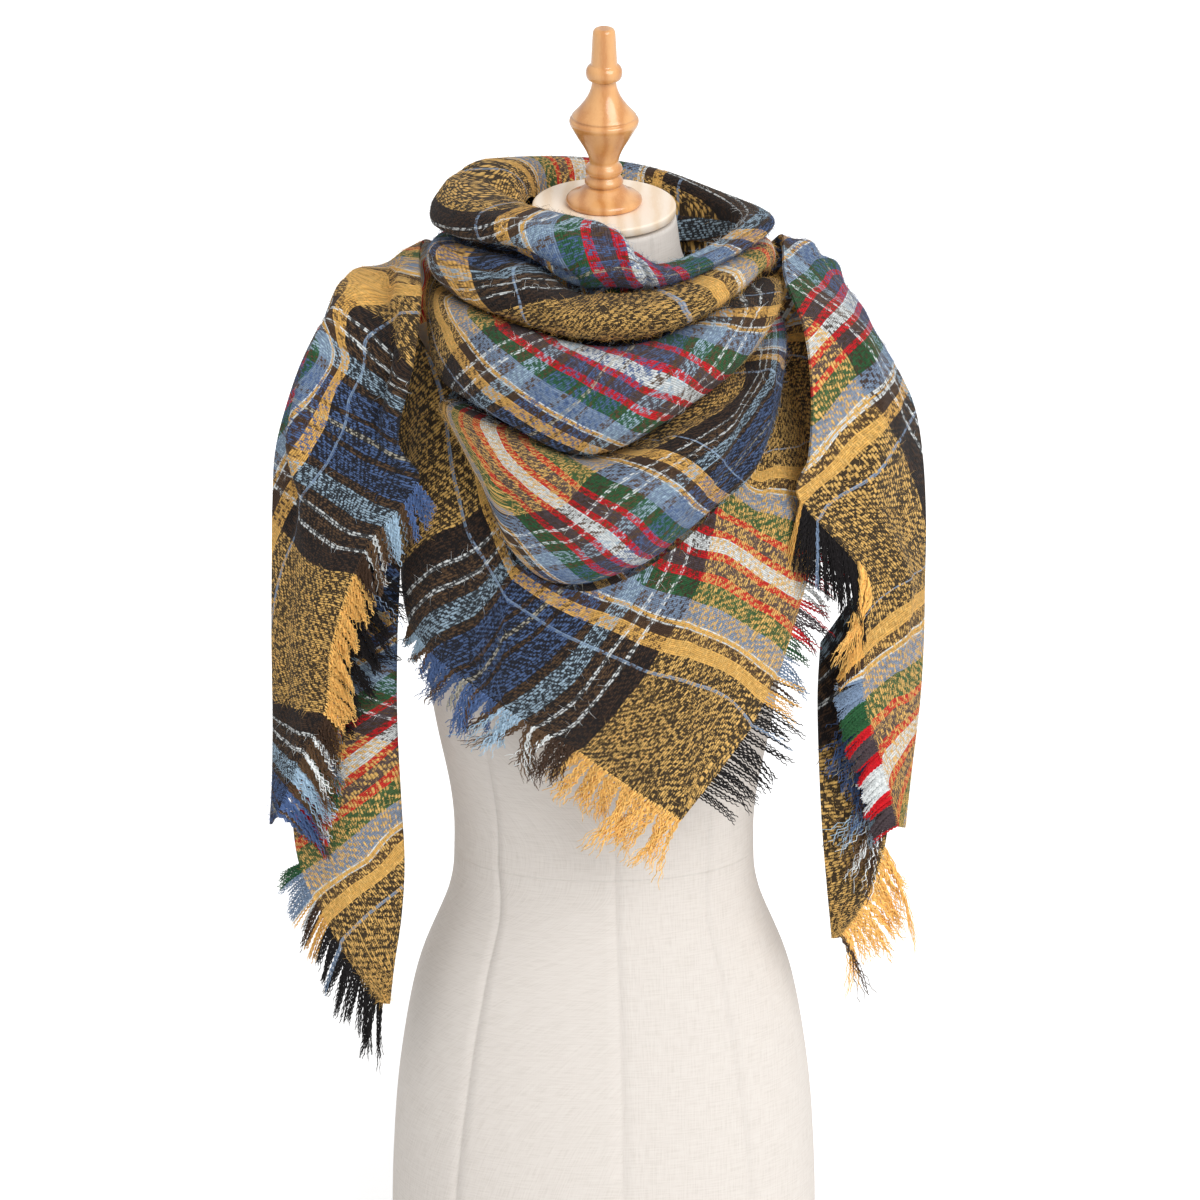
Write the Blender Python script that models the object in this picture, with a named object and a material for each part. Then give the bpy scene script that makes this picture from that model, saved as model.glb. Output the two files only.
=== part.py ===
"""Blanket scarf, worn point to the front, on a limbless dress form.

One square of woven cloth is folded corner to corner, its long edge goes round the neck,
the two ends cross behind the nape and come forward over the shoulders.
Tables are in millimetres: +X is the viewer's right, the front faces -Y, +Z is up, and the
origin is the middle of the form's flat underside.
"""
import math

import bmesh
import bpy
import numpy as np

# ---------------------------------------------------------------- driving dimensions
MM = 0.001
CLOTH = 2.2              # wall of the brushed double cloth
SEAM_GAP = 0.3           # air between neighbouring pieces
ROLL_FULLNESS = 0.62     # 1 is a true half ellipse, less is a fuller roll
ROLL_LIP = 112           # degrees from the crest at which a roll's lips end
COLLAR_LIP = 178         # the collar's upper lip turns right over and drops inside
COLLAR_DROP = 150        # degrees from the crest at which that drop begins
PLEAT_FADE = 1.5         # rows over which a pleat rises and dies away
FORM_AXIS_Y = 20.0       # the cloth's outer face is turned away from this upright line

FRINGE_LENGTH = 46.0     # unwoven ends past the cloth
STRIP_HEIGHT = 3.0       # backing that the fringe grows from
STRIP_WALL = 2.0
LOCK_SPACING = 8.4       # from one lock of the fringe to the next
LOCK_SWAY = 0.25         # how far a lock leans to one side, as a share of its half width
LOCK_UNEVEN = 0.12       # how much longer or shorter than the rest a lock can be
LOCK_WAIST = 0.45        # where a lock narrows, as a share of its length
LOCK_NARROW = 0.5        # its width there
LOCK_THIN = 0.36         # and its half thickness there, as a share of the strip's wall

NECK_TOP = 869.0         # middle of the wooden cap's upper face
NECK_FLOOR = 800.0       # the neck's sections tilt more and more from here up
NECK_TILT = math.radians(11.0)
CAP_RADIUS = 54.0
CAP_WALL = 7.0
CAP_BEVEL = 1.3
TORSO_SIDES = 24
TORSO_RINGS = 26
TURNED_SIDES = 16

# ---------------------------------------------------------------- colours
LINEN = ((0.80, 0.77, 0.71), 0.85)
BEECH = ((0.72, 0.42, 0.20), 0.35)
PLAID = ((0.36, 0.28, 0.14), 0.95)
YELLOW_YARN = ((0.78, 0.50, 0.12), 0.95)
BLACK_YARN = ((0.03, 0.03, 0.04), 0.95)
BLUE_YARN = ((0.20, 0.30, 0.50), 0.95)

# ---------------------------------------------------------------- tables of the form
# "power" is the squareness of a section: 2 is an ellipse.
TORSO_COLUMNS = ("z", "half_width", "half_depth", "middle_y", "power")
TORSO = (
    (0, 168, 121, 4, 2.2),
    (45, 170, 123, 5, 2.2),
    (110, 168, 122, 6, 2.2),
    (180, 162, 116, 6, 2.2),
    (260, 147, 103, 4, 2.15),
    (325, 122, 90, 1, 2.1),
    (365, 117, 86, -2, 2.1),
    (410, 119, 89, -5, 2.1),
    (475, 131, 102, -9, 2.15),
    (545, 140, 114, -13, 2.2),
    (620, 144, 108, -9, 2.2),
    (690, 156, 90, -1, 2.2),
    (738, 172, 66, 7, 2.2),
    (764, 160, 57, 8, 2.2),
    (784, 112, 56, 5, 2.1),
    (804, 76, 57, 2, 2.0),
    (828, 60, 56, 0, 2.0),
    (860, 54, 53, 0, 2.0),
)
# Height above the cap and radius.
FINIAL = (
    (0, 27), (3, 28.5), (7, 23), (12, 16), (14.5, 13.8),
    (19, 13.8), (22.5, 11.8), (26, 13.8), (31, 13.2), (34, 11.2),
    (46, 15.5), (58, 22.5), (63, 25.8), (68, 25.8), (74, 20), (84, 12.5), (97, 8.9),
    (99, 12.6), (106, 13.4), (110, 10), (124, 9.0), (134, 8.4), (137, 5.5),
)

# ---------------------------------------------------------------- tables of the cloth
# Rolls round the neck: bearing (0 front, +90 viewer's right), radius of the crest,
# how far the roll stands out, its top and bottom, and how far it drops inside the collar.
ROLL_COLUMNS = ("bearing", "radius", "stand", "top", "bottom", "drop")
NECK_ROLL = (
    (-180, 103, 15, 887, 838, 34),
    (-150, 110, 20, 891, 841, 24),
    (-122, 124, 31, 893, 845, 2),
    (-92, 130, 35, 886, 846, 0),
    (-62, 123, 31, 880, 848, 0),
    (-35, 113, 25, 877, 843, 0),
    (-12, 113, 25, 873, 825, 0),
    (3, 114, 22, 866, 825, 0),
    (14, 116, 16, 851, 826, 2),
    (22, 118, 12, 842, 827, 6),
    (36, 120, 11, 846, 832, 16),
    (52, 122, 11, 853, 841, 24),
    (75, 126, 12, 861, 848, 30),
    (100, 126, 13, 863, 846, 32),
    (125, 116, 12, 869, 841, 36),
    (152, 105, 12, 880, 838, 38),
)
YELLOW_ROLL = (
    (-180, 120, 24, 836, 794, 0),
    (-150, 125, 22, 838, 797, 0),
    (-120, 130, 14, 842, 824, 0),
    (-92, 131, 12, 843, 826, 0),
    (-70, 137, 18, 845, 818, 0),
    (-50, 138, 23, 845, 808, 0),
    (-30, 139, 27, 839, 801, 0),
    (-12, 143, 29, 822, 794, 0),
    (2, 146, 31, 822, 792, 0),
    (15, 147, 30, 823, 795, 0),
    (30, 145, 26, 828, 804, 0),
    (45, 140, 20, 837, 817, 0),
    (64, 134, 13, 843, 828, 0),
    (88, 128, 12, 844, 818, 0),
    (120, 123, 16, 839, 806, 0),
    (152, 119, 22, 835, 796, 0),
)
PLAID_ROLL = (
    (-88, 132, 9, 817, 800, 0),
    (-74, 138, 12, 812, 784, 0),
    (-60, 147, 16, 810, 750, 0),
    (-45, 155, 23, 805, 741, 0),
    (-25, 164, 30, 797, 727, 0),
    (-8, 173, 34, 790, 714, 0),
    (4, 176, 36, 788, 719, 0),
    (14, 177, 35, 791, 733, 0),
    (24, 175, 32, 798, 749, 0),
    (38, 168, 26, 808, 769, 0),
    (52, 158, 19, 819, 791, 0),
    (66, 145, 12, 823, 803, 0),
    (82, 134, 8, 813, 801, 0),
)
BROAD_FOLD = (
    (-54, 152, 9, 739, 728, 0),
    (-46, 157, 13, 737, 716, 0),
    (-34, 163, 19, 729, 676, 0),
    (-26, 169, 24, 723, 637, 0),
    (-16, 177, 28, 715, 619, 0),
    (-5, 183, 32, 709, 618, 0),
    (8, 187, 34, 718, 630, 0),
    (19, 189, 34, 737, 652, 0),
    (31, 188, 31, 755, 680, 0),
    (42, 181, 26, 769, 704, 0),
    (50, 170, 20, 783, 732, 0),
    (58, 157, 13, 791, 764, 0),
    (66, 146, 9, 797, 780, 0),
)
# The point that hangs over the bust: bearing, then radius and height of the cloth's top
# (under the broad fold), its middle and its frayed hem. The hem runs straight between rows.
POINT_COLUMNS = ("bearing", "r_top", "z_top", "r_mid", "z_mid", "r_hem", "z_hem")
FRONT_POINT = (
    (-80, 152, 806, 170, 712, 164, 606),
    (-72, 146, 776, 158, 672, 160, 596),
    (-58, 131, 742, 171, 645, 172, 566),
    (-47, 132, 706, 171, 624, 171, 548),
    (-34, 142, 664, 168, 596, 168, 531),
    (-26, 150, 628, 167, 572, 167, 519),
    (-7, 160, 613, 178, 550, 166, 492),
    (7, 163, 624, 183, 545, 167, 462),
    (19.6, 166, 647, 186, 555, 170, 436),
    (28, 166, 667, 188, 575, 178, 471),
    (36, 163, 686, 189, 600, 186, 506),
    (44, 158, 704, 188, 632, 190, 552),
    (51, 150, 727, 181, 672, 190, 600),
    (57, 142, 750, 168, 710, 182, 648),
    (64, 134, 768, 150, 745, 166, 700),
    (74, 152, 800, 166, 745, 172, 690),
)
# The hem's weft fringe runs between the first two of these rows, the corner being the second,
# and its warp fringe between the last two.
POINT_ROWS = (2, 8, 8.5, 13)
# The two ends, nape to hem. "in" is the edge next to the neck, "out" the edge over the arm;
# belly is how far the stretch between them bows away from the form.
END_COLUMNS = ("x_in", "y_in", "z_in", "x_out", "y_out", "z_out", "belly")
LEFT_OVER = (
    (80, 108, 794, 94, 128, 782, 2),
    (52, 114, 795, 68, 142, 754, 10),
    (-4, 122, 788, -10, 152, 708, 17),
    (-66, 106, 792, -86, 134, 694, 22),
    (-112, 62, 816, -158, 92, 712, 24),
    (-134, 20, 838, -204, 46, 752, 14),
    (-138, -22, 834, -212, 6, 776, 9),
    (-135, -68, 812, -222, -18, 764, 14),
    (-140, -100, 768, -234, -36, 736, 18),
    (-151, -115, 714, -246, -48, 693, 16),
    (-136, -124, 684, -249, -55, 652, 12),
    (-177, -116, 628, -250, -62, 605, 8),
    (-201, -110, 559, -251, -68, 548, 6),
    (-208, -108, 504, -251, -74, 490, 5),
    (-229, -100, 459, -252, -80, 444, 3),
    (-247, -91, 415, -254, -88, 408, 1),
)
LEFT_UNDER = (
    (-153, -94, 700, -239, -46, 672, 8),
    (-152, -94, 619, -241, -48, 608, 8),
    (-155, -92, 556, -242, -52, 545, 6),
    (-156, -90, 492, -243, -56, 482, 6),
    (-154, -84, 428, -240, -58, 420, 7),
    (-152, -82, 376, -234, -64, 367, 8),
    (-155, -80, 331, -214, -74, 325, 7),
    (-161, -79, 291, -194, -76, 289, 4),
    (-165, -78, 258, -172, -78, 259, 1),
)
RIGHT_OVER = (
    (-92, 58, 804, -102, 72, 788, 3),
    (-50, 90, 790, -64, 106, 750, 8),
    (4, 98, 788, 8, 120, 706, 14),
    (64, 94, 792, 84, 112, 700, 20),
    (112, 58, 816, 150, 84, 722, 20),
    (133, 18, 842, 186, 42, 770, 12),
    (134, -22, 840, 194, 8, 790, 7),
    (134, -62, 825, 204, -8, 774, 9),
    (147, -100, 794, 218, -20, 752, 12),
    (152, -117, 749, 233, -30, 722, 12),
    (150, -127, 705, 240, -38, 684, 12),
    (143, -131, 674, 243, -44, 636, 11),
    (192, -112, 611, 243, -48, 588, 8),
    (193, -106, 558, 243, -50, 541, 6),
    (195, -100, 509, 241, -52, 494, 5),
    (211, -84, 453, 236, -56, 445, 3),
    (224, -70, 400, 231, -64, 397, 1),
)
RIGHT_UNDER = (
    (164, -76, 548, 224, -36, 632, 3),
    (162, -75, 508, 226, -40, 550, 4),
    (163, -74, 463, 224, -43, 466, 5),
    (166, -75, 409, 219, -50, 396, 6),
    (170, -78, 360, 211, -64, 362, 5),
    (173, -76, 331, 197, -70, 331, 3),
    (175, -75, 311, 182, -73, 311, 1),
)
# From these rows down the edge is the frayed hem.
LEFT_HEM_ROW = 10
LEFT_UNDER_HEM_ROW = 5
RIGHT_HEM_ROW = 11
RIGHT_UNDER_HEM_ROW = 3.4
# Fringe of the folded-over layer, lying on an under layer: its two ends as (along, across)
# shares of that layer, the way its locks hang, and how far off the cloth it lies.
LAID_LIFT = 5.0
LEFT_LAID = ((0.12, 0.25), (0.55, 0.90), (0.8, 0, -0.6))
RIGHT_LAID = ((0.22, 0.50), (0.52, 0.88), (-0.75, 0, -0.65))
# Pleats of the ends: place across (0 in, 1 out), height, width across, first and last row.
PLEAT_COLUMNS = ("across", "height", "width", "first_row", "last_row")
LEFT_PLEATS = (
    (0.62, 12, 0.14, 5, 11),
    (0.34, -13, 0.12, 5, 9),
    (0.22, 11, 0.11, 0, 5),
    (0.52, 12, 0.12, 0, 6),
    (0.84, 10, 0.11, 0, 5),
)
RIGHT_PLEATS = (
    (0.45, 8, 0.16, 7, 14),
    (0.25, 9, 0.11, 0, 6),
    (0.55, 10, 0.12, 0, 6),
    (0.86, 8, 0.11, 0, 5),
)
UNDER_PLEATS = (
    (0.55, 6, 0.2, 1, 6),
)


# ---------------------------------------------------------------- curves and surfaces

def columns(table, names):
    """A table's columns, by their names."""
    return dict(zip(names, np.array(table, dtype=float).T))


def spline(table, where, closed=False):
    """Catmull-Rom curve through a table's rows, read at row positions such as 2.5."""
    rows = np.array(table, dtype=float)
    base = np.floor(where).astype(int)
    if closed:
        before, start, end, after = (rows[(base + step) % len(rows)] for step in (-1, 0, 1, 2))
    else:
        base = np.minimum(base, len(rows) - 2)
        padded = np.vstack((2 * rows[0] - rows[1], rows, 2 * rows[-1] - rows[-2]))
        before, start, end, after = (padded[base + step] for step in (0, 1, 2, 3))
    t = (where - base)[:, None]
    return 0.5 * (2 * start + (end - before) * t
                  + (2 * before - 5 * start + 4 * end - after) * t ** 2
                  + (3 * start - before - 3 * end + after) * t ** 3)


def lerp(start, end, amount):
    return start + (end - start) * amount


def unit(vectors):
    return vectors / np.linalg.norm(vectors, axis=-1, keepdims=True)


def polar(bearing, radius, height):
    """Points at a bearing in degrees round the neck, 0 to the front and +90 to the right."""
    turn = np.radians(bearing)
    return np.stack((radius * np.sin(turn), -radius * np.cos(turn), height), axis=-1)


def roll_grid(table, along, around, closed=False, upper_lip=ROLL_LIP):
    """A soft roll: half an ellipse carried round the neck, its lips tucked inwards.

    reach = radius - stand + stand * cos(angle) ** ROLL_FULLNESS
    height = middle + half the roll's height * sin(angle)
    """
    bearings = [row[0] for row in table]
    if closed:
        bearings.append(bearings[0] + 360)
        where = np.arange(along) * len(table) / along
    else:
        where = np.linspace(0, len(table) - 1, along)
    cut = {name: values[:, None]
           for name, values in columns(spline(table, where, closed), ROLL_COLUMNS).items()}
    bearing = np.interp(where, np.arange(len(bearings)), bearings)[:, None]
    degrees = np.linspace(-ROLL_LIP, upper_lip, around)[None, :]
    across = np.cos(np.radians(degrees))
    bulge = np.sign(across) * np.abs(across) ** ROLL_FULLNESS
    reach = cut["radius"] - cut["stand"] + cut["stand"] * bulge
    middle = (cut["top"] + cut["bottom"]) / 2
    height = middle + (cut["top"] - cut["bottom"]) / 2 * np.sin(np.radians(degrees))
    inside = np.clip((degrees - COLLAR_DROP) / (COLLAR_LIP - COLLAR_DROP), 0, 1)
    height = height - inside ** 2 * np.maximum(cut["drop"], 0)
    return polar(bearing, reach, height)


def point_grid(table, steps, down):
    """The hanging point: a parabola down each row, and a hem that is straight by rows."""
    where = np.linspace(0, len(table) - 1, (len(table) - 1) * steps + 1)
    smooth = columns(spline(table, where), POINT_COLUMNS)
    straight = {name: np.interp(where, np.arange(len(table)), values)
                for name, values in columns(table, POINT_COLUMNS).items()}
    share = np.linspace(0, 1, down)[None, :]
    at_top = (1 - share) * (1 - 2 * share)
    at_middle = 4 * share * (1 - share)
    at_hem = share * (2 * share - 1)
    reach, height = (smooth[letter + "_top"][:, None] * at_top
                     + smooth[letter + "_mid"][:, None] * at_middle
                     + straight[letter + "_hem"][:, None] * at_hem for letter in "rz")
    return polar(straight["bearing"][:, None], reach, height)


def end_grid(table, pleats, along, across):
    """A hanging end: bowed chords from the inner to the outer edge, with pleats added."""
    where = np.linspace(0, len(table) - 1, along)
    cut = columns(spline(table, where), END_COLUMNS)
    inner, outer = (np.stack([cut[axis + edge] for axis in "xyz"], axis=1)
                    for edge in ("_in", "_out"))
    middle = (inner + outer) / 2
    away = unit(np.cross(unit(outer - inner), unit(np.gradient(middle, axis=0))))
    from_axis = (middle - (0, FORM_AXIS_Y, 0)) * (1, 1, 0.2)
    away = away * np.sign((away * from_axis).sum(1))[:, None]
    share = np.linspace(0, 1, across)
    lift = cut["belly"][:, None] * np.sin(np.pi * share)[None, :]
    for row in pleats:
        pleat = dict(zip(PLEAT_COLUMNS, row))
        from_end = np.minimum(where - pleat["first_row"], pleat["last_row"] - where)
        rise = np.sin(np.clip(from_end / PLEAT_FADE, 0, 1) * np.pi / 2)
        hump = np.exp(-((share - pleat["across"]) / pleat["width"]) ** 2)
        lift = lift + pleat["height"] * rise[:, None] * hump[None, :]
    flat = lerp(inner[:, None], outer[:, None], share[None, :, None])
    return flat + away[:, None] * lift[..., None]


def outward_normals(grid, closed=False):
    """Unit normals of a grid of points, turned away from the axis of the form."""
    if closed:
        along = np.roll(grid, -1, axis=0) - np.roll(grid, 1, axis=0)
    else:
        along = np.gradient(grid, axis=0)
    normal = unit(np.cross(along, np.gradient(grid, axis=1)))
    from_axis = (grid - (0, FORM_AXIS_Y, 0)) * (1, 1, 0)
    return normal * np.sign((normal * from_axis).sum())


# ---------------------------------------------------------------- solids
def material(name, look):
    colour, roughness = look
    made = bpy.data.materials.new(name)
    made.use_nodes = True
    shader = made.node_tree.nodes["Principled BSDF"]
    shader.inputs["Base Color"].default_value = (*colour, 1)
    shader.inputs["Roughness"].default_value = roughness
    return made


def solid(name, points, faces, look):
    """One closed body from points in millimetres, its faces turned outwards."""
    mesh = bpy.data.meshes.new(name)
    mesh.from_pydata([tuple(point) for point in np.array(points) * MM], [], faces)
    shaped = bmesh.new()
    shaped.from_mesh(mesh)
    bmesh.ops.triangulate(shaped, faces=shaped.faces)
    bmesh.ops.recalc_face_normals(shaped, faces=shaped.faces)
    shaped.to_mesh(mesh)
    shaped.free()
    mesh.shade_smooth()
    mesh.materials.append(material(name, look))
    bpy.context.scene.collection.objects.link(bpy.data.objects.new(name, mesh))


def wall(name, grid, look, closed=False):
    """A sheet of cloth: the grid is its outer face, and the wall lies behind it."""
    along, across = grid.shape[:2]
    inner = grid - outward_normals(grid, closed) * CLOTH
    points = np.concatenate((grid.reshape(-1, 3), inner.reshape(-1, 3)))
    count = along * across
    faces = []
    for i in range(along if closed else along - 1):
        follow = (i + 1) % along
        for j in range(across - 1):
            quad = (i * across + j, i * across + j + 1,
                    follow * across + j + 1, follow * across + j)
            faces.append(quad)
            faces.append(tuple(corner + count for corner in reversed(quad)))
        for j in (0, across - 1):
            faces.append((i * across + j, follow * across + j,
                          follow * across + j + count, i * across + j + count))
    if not closed:
        for i in (0, along - 1):
            for j in range(across - 1):
                faces.append((i * across + j, i * across + j + 1,
                              i * across + j + 1 + count, i * across + j + count))
    solid(name, points, faces, look)


def ring_faces(rings, sides):
    """Faces of a tube of rings, with a flat face over each end."""
    last = (rings - 1) * sides
    faces = [tuple(range(sides)), tuple(range(last, last + sides))]
    for ring in range(rings - 1):
        for side in range(sides):
            follow = (side + 1) % sides
            faces.append((ring * sides + side, ring * sides + follow,
                          (ring + 1) * sides + follow, (ring + 1) * sides + side))
    return faces


def lathe(name, profile, sides, look, base):
    """A turned piece on the axis of the neck, which leans forward by NECK_TILT."""
    turn = np.arange(sides) * 2 * np.pi / sides
    height, radius = (np.array(column, dtype=float)[:, None] for column in zip(*profile))
    x = radius * np.cos(turn)
    y = radius * np.sin(turn) * math.cos(NECK_TILT) - height * math.sin(NECK_TILT)
    z = radius * np.sin(turn) * math.sin(NECK_TILT) + height * math.cos(NECK_TILT) + base
    points = np.stack((x, y, z), axis=-1).reshape(-1, 3)
    solid(name, points, ring_faces(len(profile), sides), look)


def torso():
    """The padded body: superellipse sections, its neck cut off along the tilted cap."""
    cut = {name: values[:, None] for name, values in
           columns(spline(TORSO, np.linspace(0, len(TORSO) - 1, TORSO_RINGS)),
                   TORSO_COLUMNS).items()}
    turn = np.arange(TORSO_SIDES)[None, :] * 2 * np.pi / TORSO_SIDES
    power = 2 / cut["power"]
    x = cut["half_width"] * np.sign(np.cos(turn)) * np.abs(np.cos(turn)) ** power
    y = cut["half_depth"] * np.sign(np.sin(turn)) * np.abs(np.sin(turn)) ** power
    neck_height = NECK_TOP - CAP_WALL - 2 * SEAM_GAP - NECK_FLOOR
    lean = np.clip((cut["z"] - NECK_FLOOR) / neck_height, 0, 1)
    z = cut["z"] + y * math.tan(NECK_TILT) * lean
    points = np.stack((x, y + cut["middle_y"], z), axis=-1).reshape(-1, 3)
    solid("form_torso", points, ring_faces(TORSO_RINGS, TORSO_SIDES), LINEN)


def fringe(name, hem, outward, facing, look, droop=0.0):
    """Locks of fringe grown from a narrow strip that runs just outside a hem."""
    legs = np.linalg.norm(np.diff(hem, axis=0), axis=1)
    shares = np.maximum(np.round(legs / LOCK_SPACING), 1).astype(int)
    where = np.append(np.concatenate([leg + np.arange(count) / count
                                      for leg, count in enumerate(shares)]), len(legs))
    locks = len(where) - 1
    rows = np.arange(len(hem))
    hem, outward, facing = (np.stack([np.interp(where, rows, axis) for axis in part.T], axis=1)
                            for part in (hem, outward, facing))
    outward, facing = unit(outward), unit(facing)
    hang = unit(outward - (0, 0, droop))
    half_wall = facing * STRIP_WALL / 2
    root = hem + outward * SEAM_GAP
    lip = root + outward * STRIP_HEIGHT
    points = [*(root + half_wall), *(root - half_wall), *(lip + half_wall), *(lip - half_wall)]
    stations = locks + 1
    root_front, root_back, lip_front, lip_back = (level * stations for level in range(4))
    faces = [(root_front + end, root_back + end, lip_back + end, lip_front + end)
             for end in (0, locks)]
    for lock in range(locks):
        follow = lock + 1
        faces.append((root_front + lock, root_back + lock, root_back + follow,
                      root_front + follow))
        faces.append((root_front + lock, root_front + follow, lip_front + follow,
                      lip_front + lock))
        faces.append((root_back + lock, lip_back + lock, lip_back + follow,
                      root_back + follow))
        middle = (lip[lock] + lip[follow]) / 2
        beside = (lip[follow] - lip[lock]) / 2
        way = unit(hang[lock] + hang[follow])
        swing = LOCK_SWAY * math.sin(2.4 * lock) * beside
        reach = FRINGE_LENGTH * (1 + LOCK_UNEVEN * math.sin(1.7 * lock + 0.6))
        waist = middle + way * reach * LOCK_WAIST + swing
        tip = middle + way * (reach - STRIP_HEIGHT) + 2 * swing
        half_width = beside * LOCK_NARROW
        half_thin = facing[lock] * STRIP_WALL * LOCK_THIN
        ring = len(points)
        points += [waist - half_width + half_thin, waist - half_width - half_thin,
                   waist + half_width - half_thin, waist + half_width + half_thin, tip]
        start = (lip_front + lock, lip_back + lock, lip_back + follow, lip_front + follow)
        for corner in range(4):
            beyond = (corner + 1) % 4
            faces.append((start[corner], start[beyond], ring + beyond, ring + corner))
            faces.append((ring + corner, ring + beyond, ring + 4))
    solid(name, points, faces, look)


def edge_fringe(name, grid, first, last, column, look, droop):
    """Fringe along one long edge of a sheet, between two shares of its length."""
    count = len(grid) - 1
    span = slice(round(first * count), round(last * count) + 1)
    inward = 1 if column == 0 else -2
    facing = outward_normals(grid)[span, column]
    hem = grid[span, column] - facing * CLOTH / 2
    outward = unit(np.cross(np.gradient(hem, axis=0), facing))
    outward = outward * np.sign((outward * (grid[span, column] - grid[span, inward])).sum())
    fringe(name, hem, outward, facing, look, droop)


def laid_fringe(name, grid, start, end, way, look):
    """Fringe that lies on a sheet: it runs between two (along, across) shares of the sheet."""
    stations = 12
    along, across = (np.linspace(start[axis], end[axis], stations) * (grid.shape[axis] - 1)
                     for axis in (0, 1))
    i, j = along.astype(int), across.astype(int)
    down, over = (along - i)[:, None], (across - j)[:, None]
    line, facing = (lerp(lerp(source[i, j], source[i + 1, j], down),
                         lerp(source[i, j + 1], source[i + 1, j + 1], down), over)
                    for source in (grid, outward_normals(grid)))
    facing = unit(facing)
    way = np.array(way, dtype=float)
    outward = way - facing * (facing @ way)[:, None]
    fringe(name, line + facing * LAID_LIFT, outward, facing, look)


def share_of(row, table):
    return row / (len(table) - 1)


def build():
    for old in list(bpy.data.objects):
        bpy.data.objects.remove(old, do_unlink=True)

    torso()
    cap_profile = ((0, CAP_RADIUS - CAP_BEVEL), (CAP_BEVEL, CAP_RADIUS),
                   (CAP_WALL - CAP_BEVEL, CAP_RADIUS), (CAP_WALL, CAP_RADIUS - CAP_BEVEL))
    cap_base = NECK_TOP - CAP_WALL * math.cos(NECK_TILT)
    lathe("neck_cap", cap_profile, TORSO_SIDES, BEECH, cap_base)
    lathe("finial", FINIAL, TURNED_SIDES, BEECH, NECK_TOP + SEAM_GAP)

    wall("neck_roll", roll_grid(NECK_ROLL, 40, 12, True, COLLAR_LIP), PLAID, closed=True)
    wall("yellow_roll", roll_grid(YELLOW_ROLL, 36, 7, True), PLAID, closed=True)
    wall("plaid_roll", roll_grid(PLAID_ROLL, 25, 8), PLAID)
    wall("broad_fold", roll_grid(BROAD_FOLD, 25, 9), PLAID)
    point = point_grid(FRONT_POINT, 2, 10)
    wall("front_point", point, PLAID)
    left_start, corner, right_start, right_end = (share_of(row, FRONT_POINT)
                                                  for row in POINT_ROWS)
    from_hem = point[:, ::-1]
    edge_fringe("point_weft_fringe", from_hem, left_start, corner, 0, YELLOW_YARN, 0.1)
    edge_fringe("point_warp_fringe", from_hem, right_start, right_end, 0, BLACK_YARN, 0.1)

    left_over = end_grid(LEFT_OVER, LEFT_PLEATS, 36, 9)
    left_under = end_grid(LEFT_UNDER, UNDER_PLEATS, 18, 8)
    right_over = end_grid(RIGHT_OVER, RIGHT_PLEATS, 38, 9)
    right_under = end_grid(RIGHT_UNDER, (), 15, 7)
    wall("left_end_over", left_over, PLAID)
    wall("left_end_under", left_under, PLAID)
    wall("right_end_over", right_over, PLAID)
    wall("right_end_under", right_under, PLAID)
    edge_fringe("left_over_fringe", left_over,
                share_of(LEFT_HEM_ROW, LEFT_OVER), 1, 0, YELLOW_YARN, 0.3)
    edge_fringe("left_under_fringe", left_under,
                share_of(LEFT_UNDER_HEM_ROW, LEFT_UNDER), 1, -1, BLACK_YARN, 0.2)
    edge_fringe("right_over_fringe", right_over,
                share_of(RIGHT_HEM_ROW, RIGHT_OVER), 1, 0, BLACK_YARN, 0.5)
    edge_fringe("right_under_fringe", right_under,
                share_of(RIGHT_UNDER_HEM_ROW, RIGHT_UNDER), 1, -1, YELLOW_YARN, 0.3)
    laid_fringe("left_fold_fringe", left_under, *LEFT_LAID, BLUE_YARN)
    laid_fringe("right_fold_fringe", right_under, *RIGHT_LAID, BLUE_YARN)


build()
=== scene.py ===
# %% [markdown]
# # A blanket scarf on a dress form, dressed for its portrait
# The real object is one square of brushed, woven tartan, folded corner to corner. Its folded
# edge goes round the neck, the ends cross behind the nape and hang down over the shoulders,
# and the doubled corner hangs over the chest as a point. It is worn on a limbless dress form
# with a turned wooden cap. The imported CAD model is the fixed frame: every piece made here
# stands where its solid stands, and nothing is moved.

# %% Load the frame
import math

import bpy
import numpy as np
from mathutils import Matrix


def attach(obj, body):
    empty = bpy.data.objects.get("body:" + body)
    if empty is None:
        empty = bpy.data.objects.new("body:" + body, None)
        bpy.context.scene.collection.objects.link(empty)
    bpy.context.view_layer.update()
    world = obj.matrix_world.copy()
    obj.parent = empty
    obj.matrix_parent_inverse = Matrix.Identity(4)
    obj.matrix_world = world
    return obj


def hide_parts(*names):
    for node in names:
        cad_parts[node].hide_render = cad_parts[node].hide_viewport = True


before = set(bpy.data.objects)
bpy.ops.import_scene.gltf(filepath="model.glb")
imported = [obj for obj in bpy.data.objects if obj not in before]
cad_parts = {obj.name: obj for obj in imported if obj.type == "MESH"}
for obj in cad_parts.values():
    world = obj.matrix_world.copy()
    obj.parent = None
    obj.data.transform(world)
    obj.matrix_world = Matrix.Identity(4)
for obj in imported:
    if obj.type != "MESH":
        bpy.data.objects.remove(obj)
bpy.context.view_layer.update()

MM = 0.001
CLOTH = 2.2                      # millimetres, the wall of the brushed cloth
FORM_AXIS_Y = 20.0               # the cloth's face is turned away from this upright line
chance = np.random.default_rng(7)

# %% [markdown]
# ## Camera, floor and light
# A product picture of cloth needs a long lens, a floor and sky of one white, and a wide, soft
# key light high on one side, so that folds have a soft dark side that the sky keeps open.
# A sun lamp with a wide disc lights form and floor evenly, as a wall of softboxes does. The
# camera looks down by 16 degrees from 3.1 metres away.

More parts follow.
